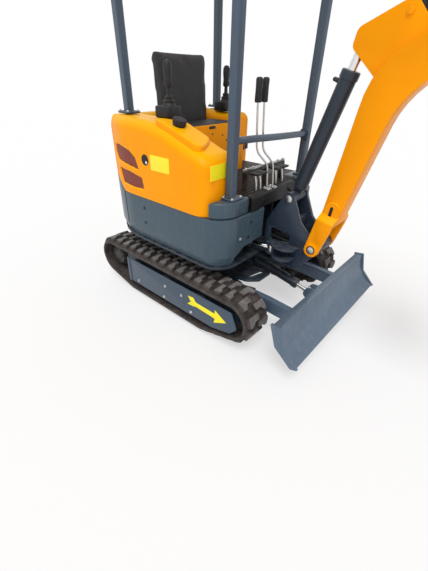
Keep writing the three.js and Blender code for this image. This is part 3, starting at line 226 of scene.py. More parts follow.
def add(name, shapes, material, body, hides=(), smooth=38, merge=1e-5):
    """Puts shapes, in millimetres from the slew axis, into one piece: doubles merged, normals turned
    out, faces smooth up to an angle, riding on its body."""
    starts = np.cumsum([0] + [len(points) for points, _ in shapes])
    faces = [[corner + int(start) for corner in face]
             for start, (_, own) in zip(starts, shapes) for face in own]
    mesh = bpy.data.meshes.new(name)
    mesh.from_pydata(shaped(np.concatenate([points for points, _ in shapes])).tolist(), [], faces)
    work = bmesh.new()
    work.from_mesh(mesh)
    bmesh.ops.remove_doubles(work, verts=work.verts, dist=merge)
    bmesh.ops.recalc_face_normals(work, faces=work.faces)
    work.to_mesh(mesh)
    work.free()
    mesh.polygons.foreach_set("use_smooth", np.ones(len(mesh.polygons), bool))
    mesh.set_sharp_from_angle(angle=math.radians(smooth))
    mesh.materials.append(material)
    made = bpy.data.objects.new(name, mesh)
    bpy.context.scene.collection.objects.link(made)
    if hides:
        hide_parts(*hides)
    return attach(made, body)


# x, height and radius of the belt's inner face round the sprocket, the idler and the three rollers
WHEELS = np.array([(-479, 179, 92), (488, 179, 92), (-290, 93, 55), (0, 93, 55), (290, 93, 55)])
HALF_BELT = 90     # half the belt's width
BELT = 18          # thickness under the lugs
BELT_STEPS = 420   # places along the belt
OUTER_RUN = 1.055  # length of the belt's outer face over that of its inner face
LUG = 20           # height of a lug
LUG_SUNK = 3       # how deep its foot is in the belt
LUG_PITCH = 72
LUG_GRID = 9       # points along a lug, and across it
turn = np.linspace(-math.pi, math.pi, 2881)
outward = np.stack([np.cos(turn), np.sin(turn)])
touched = (WHEELS[:, :2] @ outward + WHEELS[:, 2:]).argmax(0)
loop = WHEELS[touched, :2] + WHEELS[touched, 2:] * outward.T
run = np.concatenate([[0], np.cumsum(np.linalg.norm(np.diff(loop, axis=0), axis=1))])


def on_belt(along, height):
    """The point at a distance along the belt's inner face and a height over it. The loop is the hull of
    the wheels: in each direction it touches the wheel that reaches furthest that way."""
    along = along % run[-1]
    angle = np.interp(along, run, turn)
    return (np.interp(along, run, loop[:, 0]) + height * np.cos(angle),
            np.interp(along, run, loop[:, 1]) + height * np.sin(angle))


rubber = Finish("track_rubber", Specular_IOR_Level=0.35)
crest = rubber.node("ShaderNodeAttribute", {"attribute_name": "crest"}, {}, "Fac")
dust = rubber.noise(34, 5).above(0.36, 0.7)
grime = rubber.noise(9, 4).above(0.35, 0.75)
bare = rubber.blend(grime, linear("#2e2826"), linear("#463c38"))
track_rubber = rubber.done(
    rubber.blend((dust * 0.4 + 0.6) * crest ** 6 * 0.5 + dust * 0.12, bare, linear("#9a9896")),
    rubber.noise(60, 3) * 0.25 + 0.6, rubber.noise(420, 4), 0.0006)

BAND = np.array([(-90, 3), (-90, 14), (-86, 18), (86, 18), (90, 14), (90, 3), (87, 0), (-87, 0)])
# a lug's points in half lengths from its middle and in shares of HALF_BELT from the belt's edge, and
# the share of its height that each has
LENGTHWAYS = np.array([-1.25, -1.15, -0.95, -0.85, 0, 0.85, 0.95, 1.15, 1.25])
LIFT = np.array([0, 0.1, 0.94, 1, 1, 1, 0.94, 0.1, 0])
CROSSWAYS = np.array([0.13, 0.16, 0.26, 0.46, 0.52, 0.64, 0.98, 1.03, 1.06])
EDGE = np.array([0, 0.3, 1, 1, 1, 1, 1, 0.8, 0])
# a lug is long beside the belt's edge and short, and set forward, near the middle
REACH = np.interp(CROSSWAYS, [0, 0.5, 0.54, 1.1], [20, 20, 12, 12])
LEAN = np.interp(CROSSWAYS, [0, 0.5, 0.54, 1.1], [0, 0, 8, 8])
corner = np.arange(LUG_GRID ** 2).reshape(LUG_GRID, LUG_GRID)
quads = np.stack([corner[:-1, :-1], corner[1:, :-1], corner[1:, 1:], corner[:-1, 1:]], -1)
foot = np.concatenate([corner[0, :-1], corner[:-1, -1], corner[-1, :0:-1], corner[:0:-1, 0]])
for side in ("right", "left"):
    low, high = map(measured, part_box(f"track_{side}"))
    middle = (low[1] + high[1]) / 2
    step = np.linspace(0, run[-1], BELT_STEPS, endpoint=False)[:, None]
    x, z = on_belt(step, BAND[None, :, 1])
    belt = rings(np.stack([x, np.broadcast_to(middle + BAND[:, 0], x.shape), z], -1), "loop")
    lugs = round(run[-1] * OUTER_RUN / LUG_PITCH)
    number = np.arange(lugs)[:, None, None]
    blocks, crests = [], [np.zeros(len(belt[0]))]
    for row, stagger in ((-1, 0), (1, 0.5)):
        # a lug is a height over the belt that rises within an edge band all round
        along = ((number + stagger) * run[-1] / lugs
                 + LENGTHWAYS[None, :, None] * REACH[None, None, :] + LEAN[None, None, :])
        rise = np.broadcast_to(LIFT[None, :, None] * EDGE[None, None, :], along.shape)
        x, z = on_belt(along, BELT - LUG_SUNK + (LUG + LUG_SUNK) * rise)
        y = middle + row * (HALF_BELT - CROSSWAYS * HALF_BELT)
        grid = np.stack([x, np.broadcast_to(y, x.shape), z], -1)
        faces = (quads.reshape(-1, 4) + LUG_GRID ** 2 * number).reshape(-1, 4).tolist()
        faces += (foot + LUG_GRID ** 2 * number[:, 0]).tolist()
        blocks.append((grid.reshape(-1, 3), faces))
        crests.append(rise.reshape(-1))
    made = add(f"belt_{side}", [belt, *blocks], track_rubber, "undercarriage",
               [f"track_{side}"], smooth=24, merge=1e-7)
    made.data.attributes.new("crest", "FLOAT", "POINT").data.foreach_set(
        "value", np.concatenate(crests).astype(np.float32))

# ---------------------------------------------------------------------------------------------
# Track frames, sprockets and idlers
# Welded box frames in dark paint carry the rollers and the cast idler; the cast sprocket is bolted
# to the travel motor's hub at the back.
# ---------------------------------------------------------------------------------------------


def painted(name, colour, shade, roughness, dusting, streak=0.0, gloss=0.35, painted_top_light=None):
    """Sprayed gloss paint: its tone drifts over hand-sized patches, the film has a fine orange peel,
    dust settles on what looks up, streak draws soft upright smears down it, and the last colour, when
    given, is painted on what looks up as a painted highlight for the light that falls from above."""
    coat = Finish(name, Specular_IOR_Level=gloss)
    tone = coat.blend(coat.noise(7, 3).above(0.3, 0.72) * 0.5, linear(colour), linear(shade))
    # painted highlight: faces that look up go over to a paler colour, standing in for the light that falls
    # from above
    if painted_top_light:
        tone = coat.blend(coat.upward() * 0.85, tone, linear(painted_top_light))
    if streak:
        smear = coat.noise(1, 4, (46, 46, 3)).above(0.45, 0.8) * streak
        tone = coat.blend(smear, tone, linear("#9aa7b2"))
    film = coat.upward() * coat.noise(26, 5).above(0.42, 0.8) * dusting
    tone = coat.blend(film, tone, linear("#a39c92"))
    return coat.done(tone, coat.noise(40, 3) * 0.16 + (roughness - 0.08) + film * 0.4,
                     coat.noise(700, 2), 0.00008)


dark_paint = painted("dark_blue_grey_paint", "#28313c", "#333e4c", 0.38, 0.3)
slate_paint = painted("slate_paint", "#465565", "#3c4b5c", 0.34, 0.15)
cast = Finish("cast_iron", Metallic=0.55)
cast_iron = cast.done(cast.blend(cast.noise(20, 5).above(0.35, 0.7), linear("#34363a"), linear("#5a5550")),
                      cast.noise(50, 4) * 0.3 + 0.42, cast.noise(260, 5), 0.0005)


def mottled(name, clouds, colour, other, dulling, spread, least, grain=None, depth=0.0005, **fixed):
    """A finish whose colour drifts over to the other by the noise clouds; its roughness is least +
    spread * the noise dulling, and the noise grain stands up by depth in metres."""
    finish = Finish(name, **fixed)
    return finish.done(finish.blend(finish.noise(*clouds), linear(colour), linear(other)),
                       finish.noise(*dulling) * spread + least,
                       finish.noise(*grain) if grain else None, depth)


zinc = mottled("zinc_plate", (90, 4), "#b4b7ba", "#d9d8d2", (300, 3), 0.2, 0.22, (900, 2), 0.0001,
               Metallic=1.0)


def dressed(node, material, body, edge):
    """The CAD piece with its edges as they leave the shop: loose triangles merged, flat faces joined
    and every sharp edge rounded to edge millimetres."""
    mesh = frame["nodes"][node].data.copy()
    work = bmesh.new()
    work.from_mesh(mesh)
    bmesh.ops.remove_doubles(work, verts=work.verts, dist=4e-5)
    bmesh.ops.dissolve_degenerate(work, edges=work.edges, dist=2e-5)
    bmesh.ops.dissolve_limit(work, angle_limit=math.radians(1), verts=work.verts, edges=work.edges)
    work.to_mesh(mesh)
    work.free()
    mesh.polygons.foreach_set("use_smooth", np.ones(len(mesh.polygons), bool))
    mesh.materials.clear()
    mesh.materials.append(material)
    made = bpy.data.objects.new(f"{node}_finished", mesh)
    bpy.context.scene.collection.objects.link(made)
    rounding = made.modifiers.new("rounding", "BEVEL")
    rounding.width = edge / 1000
    rounding.segments = 2
    rounding.limit_method = "ANGLE"
    rounding.angle_limit = math.radians(30)
    rounding.use_clamp_overlap = True
    rounding.harden_normals = True
    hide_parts(node)
    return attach(made, body)


def unit(vector):
    return np.asarray(vector, float) / np.linalg.norm(vector)


def square_to(axis):
    """Two directions square to an axis and to each other."""
    side = unit(np.cross(axis, (0.31, 0.52, 0.79)))
    return side, np.cross(axis, side)


def turned(profile, start, axis, sides=36, ends="flat"):
    """A profile of (distance along, radius) turned about the line through start along axis:
    start + along * axis + radius * (cos a * side + sin a * third)."""
    axis = unit(axis)
    side, third = square_to(axis)
    angle = np.linspace(0, 2 * math.pi, sides, endpoint=False)[:, None]
    round_it = np.cos(angle) * side + np.sin(angle) * third
    along, radius = np.array(profile, float).T[:, :, None, None]
    return rings(np.asarray(start, float) + along * axis + radius * round_it, ends)


def bolt_heads(places, axis, size):
    """Hexagon heads on round washers, size to a corner. The radius goes from the washer's circle to the
    head's hexagon, a / cos(angle from the flat's middle), as the profile climbs."""
    axis = unit(axis)
    side, third = square_to(axis)
    angle = np.linspace(0, 2 * math.pi, 24, endpoint=False)
    hexagon = math.cos(math.pi / 6) / np.cos(angle % (math.pi / 3) - math.pi / 6)
    profile = [(-1, 1.45, 0), (0.2, 1.45, 0), (0.26, 1.38, 0),
               (0.26, 1.0, 1), (0.8, 1.0, 1), (0.95, 0.86, 0.6)]
    rows = np.stack([
        (lift * axis + (radius * (1 - share + share * hexagon))[:, None]
         * (np.cos(angle)[:, None] * side + np.sin(angle)[:, None] * third)) * size
        for lift, radius, share in profile])
    return [rings(rows + np.asarray(place, float)) for place in places]


HUB_CAP = [(-4, 0.5), (-4, 56), (2, 57), (4, 54), (4, 34), (9, 30), (11, 22), (11, 0.5)]
STUD_CIRCLE = 43
spread = np.linspace(0, 2 * math.pi, 8, endpoint=False)
for side, sign in (("right", -1), ("left", 1)):
    dressed(f"track_frame_{side}", dark_paint, "undercarriage", 2)
    dressed(f"idler_{side}", cast_iron, "undercarriage", 2)
    dressed(f"sprocket_{side}", cast_iron, "undercarriage", 2)
    face = measured(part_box(f"sprocket_{side}")[sign > 0])[1]
    hub = np.array([WHEELS[0, 0], face, WHEELS[0, 1]])
    studs = hub + STUD_CIRCLE * np.stack([np.cos(spread), 0 * spread, np.sin(spread)], -1)
    add(f"hub_cap_{side}", [
        turned(HUB_CAP, hub, (0, sign, 0)), *bolt_heads(studs + (0, sign * 3, 0), (0, sign, 0), 6)],
        cast_iron, "undercarriage")

# ---------------------------------------------------------------------------------------------
# Track cover plates
# Pressed slate-painted sheets bolted over the track frames, with a fold down the rear edge, plated
# bolts and a bright yellow arrow that shows which way is forwards.
# ---------------------------------------------------------------------------------------------

AXES = {"x": (1, 2, 0), "y": (0, 2, 1), "z": (0, 1, 2)}


def rounded(corners, radii, steps=6):
    """A closed outline with each corner swept from one side to the next: (1-t)^2 a + 2t(1-t) c + t^2 b."""
    corner = np.array(corners, float)
    back = np.roll(corner, 1, 0) - corner
    on = np.roll(corner, -1, 0) - corner
    lengths = [np.linalg.norm(way, axis=1, keepdims=True) for way in (back, on)]
    back, on = back / lengths[0], on / lengths[1]
    half = np.arccos(np.clip((back * on).sum(1), -1, 1)) / 2
    cut = np.broadcast_to(radii, half.shape) / np.tan(half)
    cut = np.minimum(cut, 0.48 * np.minimum(*lengths)[:, 0])[:, None]
    t = np.linspace(0, 1, steps)[None, :, None]
    start, end = (corner + back * cut)[:, None], (corner + on * cut)[:, None]
    return ((1 - t) ** 2 * start + 2 * t * (1 - t) * corner[:, None] + t ** 2 * end).reshape(-1, 2)


def drawn_in(outline, by):
    """An outline moved in by a distance: each point goes along the mitre of its two sides' normals."""
    before, after = outline - np.roll(outline, 1, 0), np.roll(outline, -1, 0) - outline
    before, after = [way / np.maximum(np.linalg.norm(way, axis=1, keepdims=True), 1e-9)
                     for way in (before, after)]
    normal = [np.stack([-way[:, 1], way[:, 0]], -1) for way in (before, after)]
    mitre = (normal[0] + normal[1]) / np.maximum(1 + (normal[0] * normal[1]).sum(1, keepdims=True), 0.4)
    area = (outline[:, 0] * np.roll(outline[:, 1], -1) - outline[:, 1] * np.roll(outline[:, 0], -1)).sum()
    return outline + by * math.copysign(1, area) * mitre


def plate(outline, axis, low, high, edge=1.5):
    """A flat plate with rounded edges: the outline, drawn in by edge * (1 - cos a) as it nears each face."""
    first, second, third = AXES[axis]
    bend = np.radians([90, 60, 30, 0])
    depths = np.concatenate([low + edge * (1 - np.sin(bend)), high - edge * (1 - np.sin(bend[::-1]))])
    insets = np.concatenate([edge * (1 - np.cos(bend)), edge * (1 - np.cos(bend[::-1]))])
    rows = np.zeros((len(depths), len(outline), 3))
    rows[:, :, [first, second]] = np.stack([drawn_in(outline, by) for by in insets])
    rows[:, :, third] = depths[:, None]
    return rings(rows)


def sticker(name, patches, share, colour, faded, dulling, least):
    """Coloured film: it is faded by a share in patches, and its roughness is least + 0.1 * a noise."""
    film = Finish(name)
    fading = film.noise(patches, 3).above(0.4, 0.8) * share
    return film.done(film.blend(fading, linear(colour), linear(faded)), film.noise(dulling, 2) * 0.1 + least)


arrow_film = sticker("arrow_yellow", 30, 0.4, "#fff000", "#f2dc10", 80, 0.35)
COVER = [(-323, 76), (380, 76), (498, 104), (540, 150), (504, 234), (-323, 234)]
ARROW = [(476, 158), (400, 201), (401, 177), (268, 181), (249, 203), (209, 198), (231, 170), (204, 144),
         (246, 146), (268, 153), (401, 146), (394, 117)]
FIXINGS = [(-226, 105), (9, 94), (229, 97), (25, 174), (158, 174)]
for side, sign in (("right", -1), ("left", 1)):
    behind, face = [measured(end)[1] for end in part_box(f"cover_plate_{side}")][::sign]
    span = lambda near, far: sorted((face + sign * near, face + sign * far))
    stays = [plate(np.array([(x, 176), (x + 50, 176), (x + 50, 216), (x, 216)]), "y",
                   *sorted((behind, face - sign * 5)), 1) for x in (-290, -20, 250)]
    add(f"cover_sheet_{side}", [
        plate(rounded(COVER, [2, 6, 10, 12, 10, 2]), "y", *span(-6, 0), 1.2),
        plate(rounded([(-323, 74), (-300, 74), (-300, 236), (-323, 236)], 3), "y", *span(-1, 3), 1.2),
        plate(rounded([(176, 100), (178, 100), (178, 222), (176, 222)], 0.8), "y", *span(-1, 0.8), 0.3),
        *stays], slate_paint, "undercarriage", [f"cover_plate_{side}"])
    add(f"cover_bolts_{side}", bolt_heads([(x, face, z) for x, z in FIXINGS], (0, sign, 0), 6.5),
        zinc, "undercarriage")
    add(f"arrow_{side}", [plate(rounded(ARROW, 1.5, 3), "y", *span(-0.5, 0.6), 0.2)], arrow_film,
        "undercarriage")

# ---------------------------------------------------------------------------------------------
# Undercarriage body
# A welded drum with four box legs to the track frames and lugs for the blade, in dark paint. Each
# front leg has a wide top plate with a slot, and a lower plate, welded on.
# ---------------------------------------------------------------------------------------------

dressed("car_body", dark_paint, "undercarriage", 3)


def bolted(name, places, axis, size, body):
    """Plated bolt heads, all one piece."""
    return add(name, bolt_heads(places, axis, size), zinc, body)


BOLT_CIRCLE, RING_TOP = 178, 300
ring_turn = np.radians(np.arange(0, 360, 24))
bolted("slew_ring_bolts", np.stack([
    BOLT_CIRCLE * np.cos(ring_turn), BOLT_CIRCLE * np.sin(ring_turn), RING_TOP + 0 * ring_turn], -1),
    (0, 0, 1), 7, "undercarriage")


def evenly(outline, count):
    """An outline drawn again with its points the same distance apart."""
    closed = np.concatenate([outline, outline[:1]])
    gone = np.concatenate([[0], np.cumsum(np.linalg.norm(np.diff(closed, axis=0), axis=1))])
    at = np.linspace(0, gone[-1], count, endpoint=False)
    return np.stack([np.interp(at, gone, closed[:, k]) for k in (0, 1)], -1)


def holed(outline, hole, axis, low, high, count=72):
    """A flat plate with one hole: rings of equal count run up the outside and down through the hole."""
    first, second, third = AXES[axis]
    middle = hole.mean(0)

    def walked(path):
        path = evenly(path, count)
        start = np.abs(np.arctan2(*(path - middle).T[::-1])).argmin()
        return np.roll(path, -start, 0)

    around, inside = walked(outline), walked(hole)
    rows = np.zeros((6, count, 3))
    edge = np.minimum(1.5, (high - low) / 3)
    eased = drawn_in(around, edge)
    rows[:, :, [first, second]] = np.stack([eased, around, around, eased, inside, inside])
    rows[:, :, third] = np.array([low, low + edge, high - edge, high, high, low])[:, None]
    return rings(rows, "loop")


LEG_PLATE = np.array([(200, -212), (335, -212), (390, -200), (442, -150), (442, -36), (200, -36)], float)
LEG_SLOT = np.array([(366, -150), (384, -156), (408, -66), (396, -50), (384, -62)], float)
for side, sign in (("right", 1), ("left", -1)):
    flip = np.array([1, sign])
    add(f"leg_plate_{side}", [
        holed(rounded(LEG_PLATE * flip, 14)[::sign], rounded(LEG_SLOT * flip, 12)[::sign], "z", 237, 249),
        plate(rounded(LEG_PLATE[:4] * flip + (-3, 4 * sign), 8)[::sign], "z", 178, 190, 1.5)],
        dark_paint, "undercarriage")

# ---------------------------------------------------------------------------------------------
# Dozer blade and its cylinder
# A curved steel plate closed by end plates, on two push arms, lifted by one hydraulic cylinder.
# Its slate paint is smooth, with faint upright smears left by rain.
# ---------------------------------------------------------------------------------------------

blade_paint = painted("blade_paint", "#5b6d80", "#526478", 0.24, 0.03, 0.12)
dressed("dozer_blade", blade_paint, "blade", 4)

chrome = mottled("ground_chrome", (60, 3), "#d5d6d8", "#f0f0ee", (500, 2), 0.08, 0.1, (1500, 1), 0.00003,
                 Metallic=1.0)
JOINT_AXES = {joint["name"]: np.array(joint["axis"], float) for joint in frame["joints"]}
ROD_EYE = 18     # half the width of a rod's eye
WEB = 14         # half the width of the web between a barrel and its eye


def corners_of(mesh):
    """The places of all of a mesh's vertices."""
    places = np.zeros(len(mesh.vertices) * 3)
    mesh.vertices.foreach_get("co", places)
    return places.reshape(-1, 3)


def ram(name, bore, rod, eye, pin, gland_room, pin_axis, turn_joint, slide_joint, half=18, ports=1):
    """A hydraulic cylinder on its two pins: a turned barrel with a rolled gland, an eye, and two port
    stubs on the side that ports gives; a ground rod with its own eye. Each is a turned profile."""
    base = measured(pins[turn_joint])
    points = measured(corners_of(frame["nodes"][f"{name}_rod"].data))
    way = unit(JOINT_AXES[slide_joint])
    way = way if ((points - base) @ way).mean() > 0 else -way
    length = ((points - base) @ way).max() - eye
    gland = length - gland_room
    neck = eye + 18
    across = unit(pin_axis)
    third = np.cross(way, across)
    barrel = [(neck - 2, 0.5), (neck - 2, bore - 9), (neck + 4, bore - 1), (neck + 8, bore),
              (gland - 30, bore), (gland - 29, bore + 3), (gland - 5, bore + 3), (gland - 1, bore + 1),
              (gland, rod + 5), (gland + 0.5, rod + 1), (gland - 3, rod + 0.6), (gland - 3, 0.5)]
    port = [(-4, 9), (8, 9), (9, 8), (20, 8), (20, 5), (24, 5), (24, 0.5)]

    def eye_ring(at, wide):
        return turned([(-wide, pin + 0.6), (-wide, eye - 2), (-wide + 2, eye), (wide - 2, eye),
                       (wide, eye - 2), (wide, pin + 0.6)], at, across, 32, "loop")

    corner = np.array([(-1, -1), (1, -1), (1, 1), (-1, 1)])
    web = rings(np.stack([base + way * along + np.outer(corner[:, 0] * WEB, across)
                          + np.outer(corner[:, 1] * eye * tall, third)
                          for along, tall in ((pin + 4, 0.7), (neck, 0.8))]))
    add(f"{name}_tube", [
        turned(barrel, base, way, 48), eye_ring(base, half), web,
        *[turned(port, base + way * along + third * ports * bore, third * ports, 16)
          for along in (neck + 26, gland - 44)]],
        dark_paint, turn_joint.replace("_turn", ""), [f"{name}_barrel"])
    inside = ((points - base) @ way).min()
    add(f"{name}_piston_rod", [
        turned([(inside, 0.5), (inside, rod), (length - eye - 12, rod), (length - eye - 11, rod + 3),
                (length - eye * 0.6, rod + 3), (length - eye * 0.6, 0.5)], base, way, 40),
        eye_ring(base + way * length, ROD_EYE)],
        chrome, slide_joint.replace("_slide", ""), [f"{name}_rod"])


ram("blade_cylinder", 25, 13, 22, 11, 75, (0, 1, 0), "blade_barrel_turn", "blade_rod_slide")

# ---------------------------------------------------------------------------------------------
# Turntable, skirts and counterweight
# A plate platform that turns on the slew ring, closed by pressed skirts with a rolled lip and an
# inward lower strip; the cast counterweight closes the tail and climbs to the engine cover.
# ---------------------------------------------------------------------------------------------

dressed("platform", dark_paint, "house", 3)

# the house in plan: straight sides, an ellipse round the tail and a quarter circle at each front corner
HALF_WIDTH, NOSE = 440, 405
TAIL_CENTRE, TAIL_LENGTH = -220, 420
CORNER_X, CORNER_Y, CORNER_RADIUS = 285, -320, 120
# inset and height round the lip, down the wall and back along the inward lower strip
SKIRT = np.array([(9, 640), (5, 640), (2, 638.8), (0.4, 636), (0, 632), (0, 455), (1.2, 448), (17, 404),
                  (19, 400.5), (22, 400), (27, 401), (12, 446), (8, 456)])
SKIRT_TAIL, SWING_GAP = 100.9, 118


def tail_curve(angle, inset=0):
    """The tail in plan: an ellipse, drawn in by inset."""
    return np.stack([TAIL_CENTRE + (TAIL_LENGTH - inset) * np.cos(angle),
                     -(HALF_WIDTH - inset) * np.sin(angle)], -1)


def house_side(inset, tail, gap):
    """The house's right side in plan, drawn in by inset: from the angle tail on the rear ellipse along the
    straight side, round the front corner and across to gap beside the swing bracket."""
    flank = np.linspace(-200, 285, 12)
    corner = np.radians(np.linspace(-90, 0, 18))[1:]
    front = np.concatenate([np.linspace(-300, -190, 5), [-187], np.linspace(-170, -gap, 4)])
    return np.concatenate([
        tail_curve(np.radians(np.linspace(tail, 90, 14)), inset),
        np.stack([flank, 0 * flank - HALF_WIDTH + inset], -1),
        np.stack([CORNER_X + (CORNER_RADIUS - inset) * np.cos(corner),
                  CORNER_Y + (CORNER_RADIUS - inset) * np.sin(corner)], -1),
        np.stack([0 * front + NOSE - inset, front], -1)])


skirt_paint = painted("skirt_paint", "#3f525e", "#3b4d5b", 0.28, 0.1, 0.04)
for side, sign in (("right", -1), ("left", 1)):
    rows = np.stack([np.insert(house_side(inset, SKIRT_TAIL, SWING_GAP), 2, z, axis=1)
                     for inset, z in SKIRT], 1)
    if side == "right":
        # the front wall's lower edge slants up and stops above the swing cylinder's rod
        slant = np.interp(rows[:, :, 1], [-335, -290, -118], [400, 478, 492])
        rows[:, :, 2] = np.maximum(rows[:, :, 2], np.where(rows[:, :, 0] > 350, slant, 0))
    rows[:, :, 1] *= -sign
    add(f"skirt_pressing_{side}", [rings(rows)], skirt_paint, "house", [f"skirt_{side}"])


def tail_top(x):
    """Height of the counterweight's top edge: level with the skirts, then a straight climb to the tail."""
    return np.clip(640 + (-300 - x) * 120 / 190, 640, 760)


# inset and height, measured down from the top edge as far as 0 and up from the ground after it
WEIGHT = [(60, 0), (14, 0), (5, -1.5), (1, -6), (0, -14), (0, 455), (1.2, 448), (17, 404),
          (19, 400.5), (22, 400), (80, 400)]
sweep = np.radians(np.linspace(102.4, 257.6, 90))
crown = tail_top(tail_curve(sweep)[:, 0])
rows = np.stack([np.column_stack([tail_curve(sweep, inset), crown + z if z <= 0 else 0 * crown + z])
                 for inset, z in WEIGHT], 1)
add("counterweight_casting", [rings(rows)], skirt_paint, "house", ["counterweight"])

# painted shade: a near-black finish for holes and slots that are not cut, standing in for the shade inside
# them
hole_shade = mottled("painted_hole_shade", (60, 3), "#08090b", "#15171b", (90, 2), 0.2, 0.6)


def opening(at, axis, radius):
    """A flush dark disc painted in as the shade inside an access hole: its rim is eased by a millimetre."""
    return turned([(-2, 0.5), (-2, radius), (0.4, radius), (0.7, radius - 1), (0.7, 0.5)], at, axis, 28)


# painted shade: flush dark discs stand in for the access holes in the skirts and the nose
add("skirt_holes", [
    *[opening((x, -HALF_WIDTH, z), (0, -1, 0), 9) for x, z in ((-131, 585), (-133, 503))],
    *[opening((NOSE, y, z), (1, 0, 0), 10) for y, z in ((-222, 592), (-236, 520))]],
    hole_shade, "house")
bolted("skirt_bolts", [(NOSE, -300, 530)], (1, 0, 0), 6, "house")

# ---------------------------------------------------------------------------------------------
# Hoods
# Moulded orange-yellow covers with wide soft edges round the tank and the engine. The right one has
# a raised filler panel, two recessed mesh grilles, a lock and blank stickers; the left one has black
# latches on its front; the rear one is hinged.
# ---------------------------------------------------------------------------------------------

black_plastic = mottled("black_plastic", (50, 4), "#141518", "#212226", (120, 3), 0.2, 0.42, (1400, 3),
                        0.0002, Specular_IOR_Level=0.4)
# the last colour is a painted highlight: faces that look up are painted paler yellow for the light from
# above
hood_paint = painted("hood_yellow", "#ffa200", "#fd9c00", 0.34, 0.0, 0.0, 0.1, "#ffc000")
MESHED_TOP = np.array([(-362, 868), (-310, 876), (-218, 858), (-170, 828), (-150, 776), (-336, 799),
                       (-364, 830)], float)
MESHED_LOW = np.array([(-334, 760), (-231, 755), (-131, 738), (-120, 685), (-202, 681), (-306, 686)],
                      float)
MESH_DEPTH = 9


def within(outline, x, z):
    """How far inside a convex outline a point lies: the least of its distances to the sides' lines."""
    way = np.roll(outline, -1, 0) - outline
    way = way / np.linalg.norm(way, axis=1, keepdims=True)
    turning = math.copysign(1, (outline[:, 0] * np.roll(outline[:, 1], -1)
                                - outline[:, 1] * np.roll(outline[:, 0], -1)).sum())
    return (turning * ((z[..., None] - outline[:, 1]) * way[:, 0]
                       - (x[..., None] - outline[:, 0]) * way[:, 1])).min(-1)


def hood(outline, spine, top, low, fillet, levels=50, dent=None, wall=5):
    """A moulded cover. Each point of the plan outline climbs a wall from low(x) to a quarter round of
    radius fillet, and from there runs up to the spine, a line in plan, at the height top(x, y)."""
    foot = np.array(spine, float)
    along = foot[1] - foot[0]
    share = np.clip(((outline - foot[0]) @ along) / (along @ along), 0, 1)[:, None]
    towards = foot[0] + share * along - outline
    reach = np.linalg.norm(towards, axis=1, keepdims=True)
    towards = towards / reach

    def ring(inset, rise):
        plan = outline + towards * np.minimum(inset, reach * 0.985)
        return np.column_stack([plan, rise(plan)])

    bottom = low(outline[:, 0])
    crown = lambda plan: top(*plan.T)
    eaves = lambda plan: top(outline[:, 0], outline[:, 1]) - fillet
    lining = lambda plan: crown(plan) - wall
    inner = [ring(reach * 0.98, lining), ring(fillet, lining), ring(wall, eaves),
             ring(wall, lambda plan: bottom)]
    outer = [ring(0.8, lambda plan: bottom), ring(0, lambda plan: bottom + 0.8)]
    outer += [ring(0, lambda plan: bottom + 0.8 + (eaves(plan) - bottom - 0.8) * k / levels)
              for k in range(1, levels + 1)]
    outer += [ring(fillet * (1 - math.cos(a)), lambda plan: crown(plan) - fillet * (1 - math.sin(a)))
              for a in np.radians([10, 20, 30, 40, 50, 60, 70, 80, 90])]
    outer += [ring(fillet + (reach * 0.985 - fillet) * k / 9, crown) for k in range(1, 10)]
    outer = np.stack(outer)
    if dent:
        outer = dent(outer)
    return rings(np.concatenate([np.stack(inner), outer]))


def right_top(x, y):
    """Two slopes that meet in a soft crest: the lower of them, rounded by their logarithmic mean."""
    back = 1008 - (x + 380) * 8 / 360
    fore = 1000 - (x + 20) * 120 / 338
    return -16 * np.log(np.exp(-(back - 900) / 16) + np.exp(-(fore - 900) / 16)) + 900


def rear_edge(x):
    """The house's side at a place along it: straight, then the rear ellipse."""
    beyond = np.minimum(x - TAIL_CENTRE, 0) / TAIL_LENGTH
    return -HALF_WIDTH * np.sqrt(1 - np.clip(beyond, -0.999, 0) ** 2)


def side_floor(x):
    """Where a side hood stands: just clear of the skirt, and further clear over the climbing tail."""
    return tail_top(x) + 0.4 + 3 * (x < -300)


def meshed(points):
    """Presses the two grille recesses into the side wall, by 3t^2 - 2t^3 as t climbs across their edge."""
    x, y, z = points[..., 0], points[..., 1], points[..., 2]
    side_on = y < rear_edge(x) + 3
    depth = np.maximum(*[np.clip(within(edge, x, z) / 7 + 0.7, 0, 1) for edge in (MESHED_TOP, MESHED_LOW)])
    depth = depth ** 2 * (3 - 2 * depth) * MESH_DEPTH
    return np.stack([x, y + np.where(side_on, depth, 0), z], -1)


flank_x = np.linspace(-374, -226, 10) - 6
# of the four corners that are rounded here, the plan keeps the two at the front
right_plan = evenly(np.concatenate([
    [(-374, -226), (-380, -232)],
    np.stack([flank_x, rear_edge(flank_x)], -1),
    rounded([(-180, -440), (318, -440), (318, -226), (60, -226)], [1, 92, 26, 1], 12)[12:36]]), 330)
add("hood_right_moulding", [hood(right_plan, [(-300, -333), (215, -333)], right_top,
                                 side_floor, 54, 60, meshed, 14)],
    hood_paint, "house", ["hood_right"], smooth=50)

left_plan = evenly(np.concatenate([
    [(-128, 232), (-134, 226), (-374, 226), (-380, 232)],
    np.stack([flank_x, -rear_edge(flank_x)], -1),
    [(-180, 440), (-150, 440), (-136, 434), (-128, 420)]]), 200)
add("hood_left_moulding", [hood(left_plan, [(-300, 333), (-215, 333)],
                                lambda x, y: 1006 - (x + 380) * 20 / 250, side_floor, 46, 30)],
    hood_paint, "house", ["hood_left"], smooth=50)
add("hood_left_latches", [
    plate(rounded([(y - 11, z - 16), (y + 11, z - 16), (y + 11, z + 16), (y - 11, z + 16)], 5),
          "x", -129, -121, 2)
    for y, z in ((347, 881), (388, 788), (421, 791), (369, 668), (342, 714))],
    black_plastic, "house")


def rear_top(x, y):
    """The engine cover's crown: nearly level, then falling away over the tail."""
    return 1006 - 26 * np.clip((-386 - x) / 190, 0, 1) - 105 * np.clip((-560 - x) / 80, 0, 1) ** 1.6


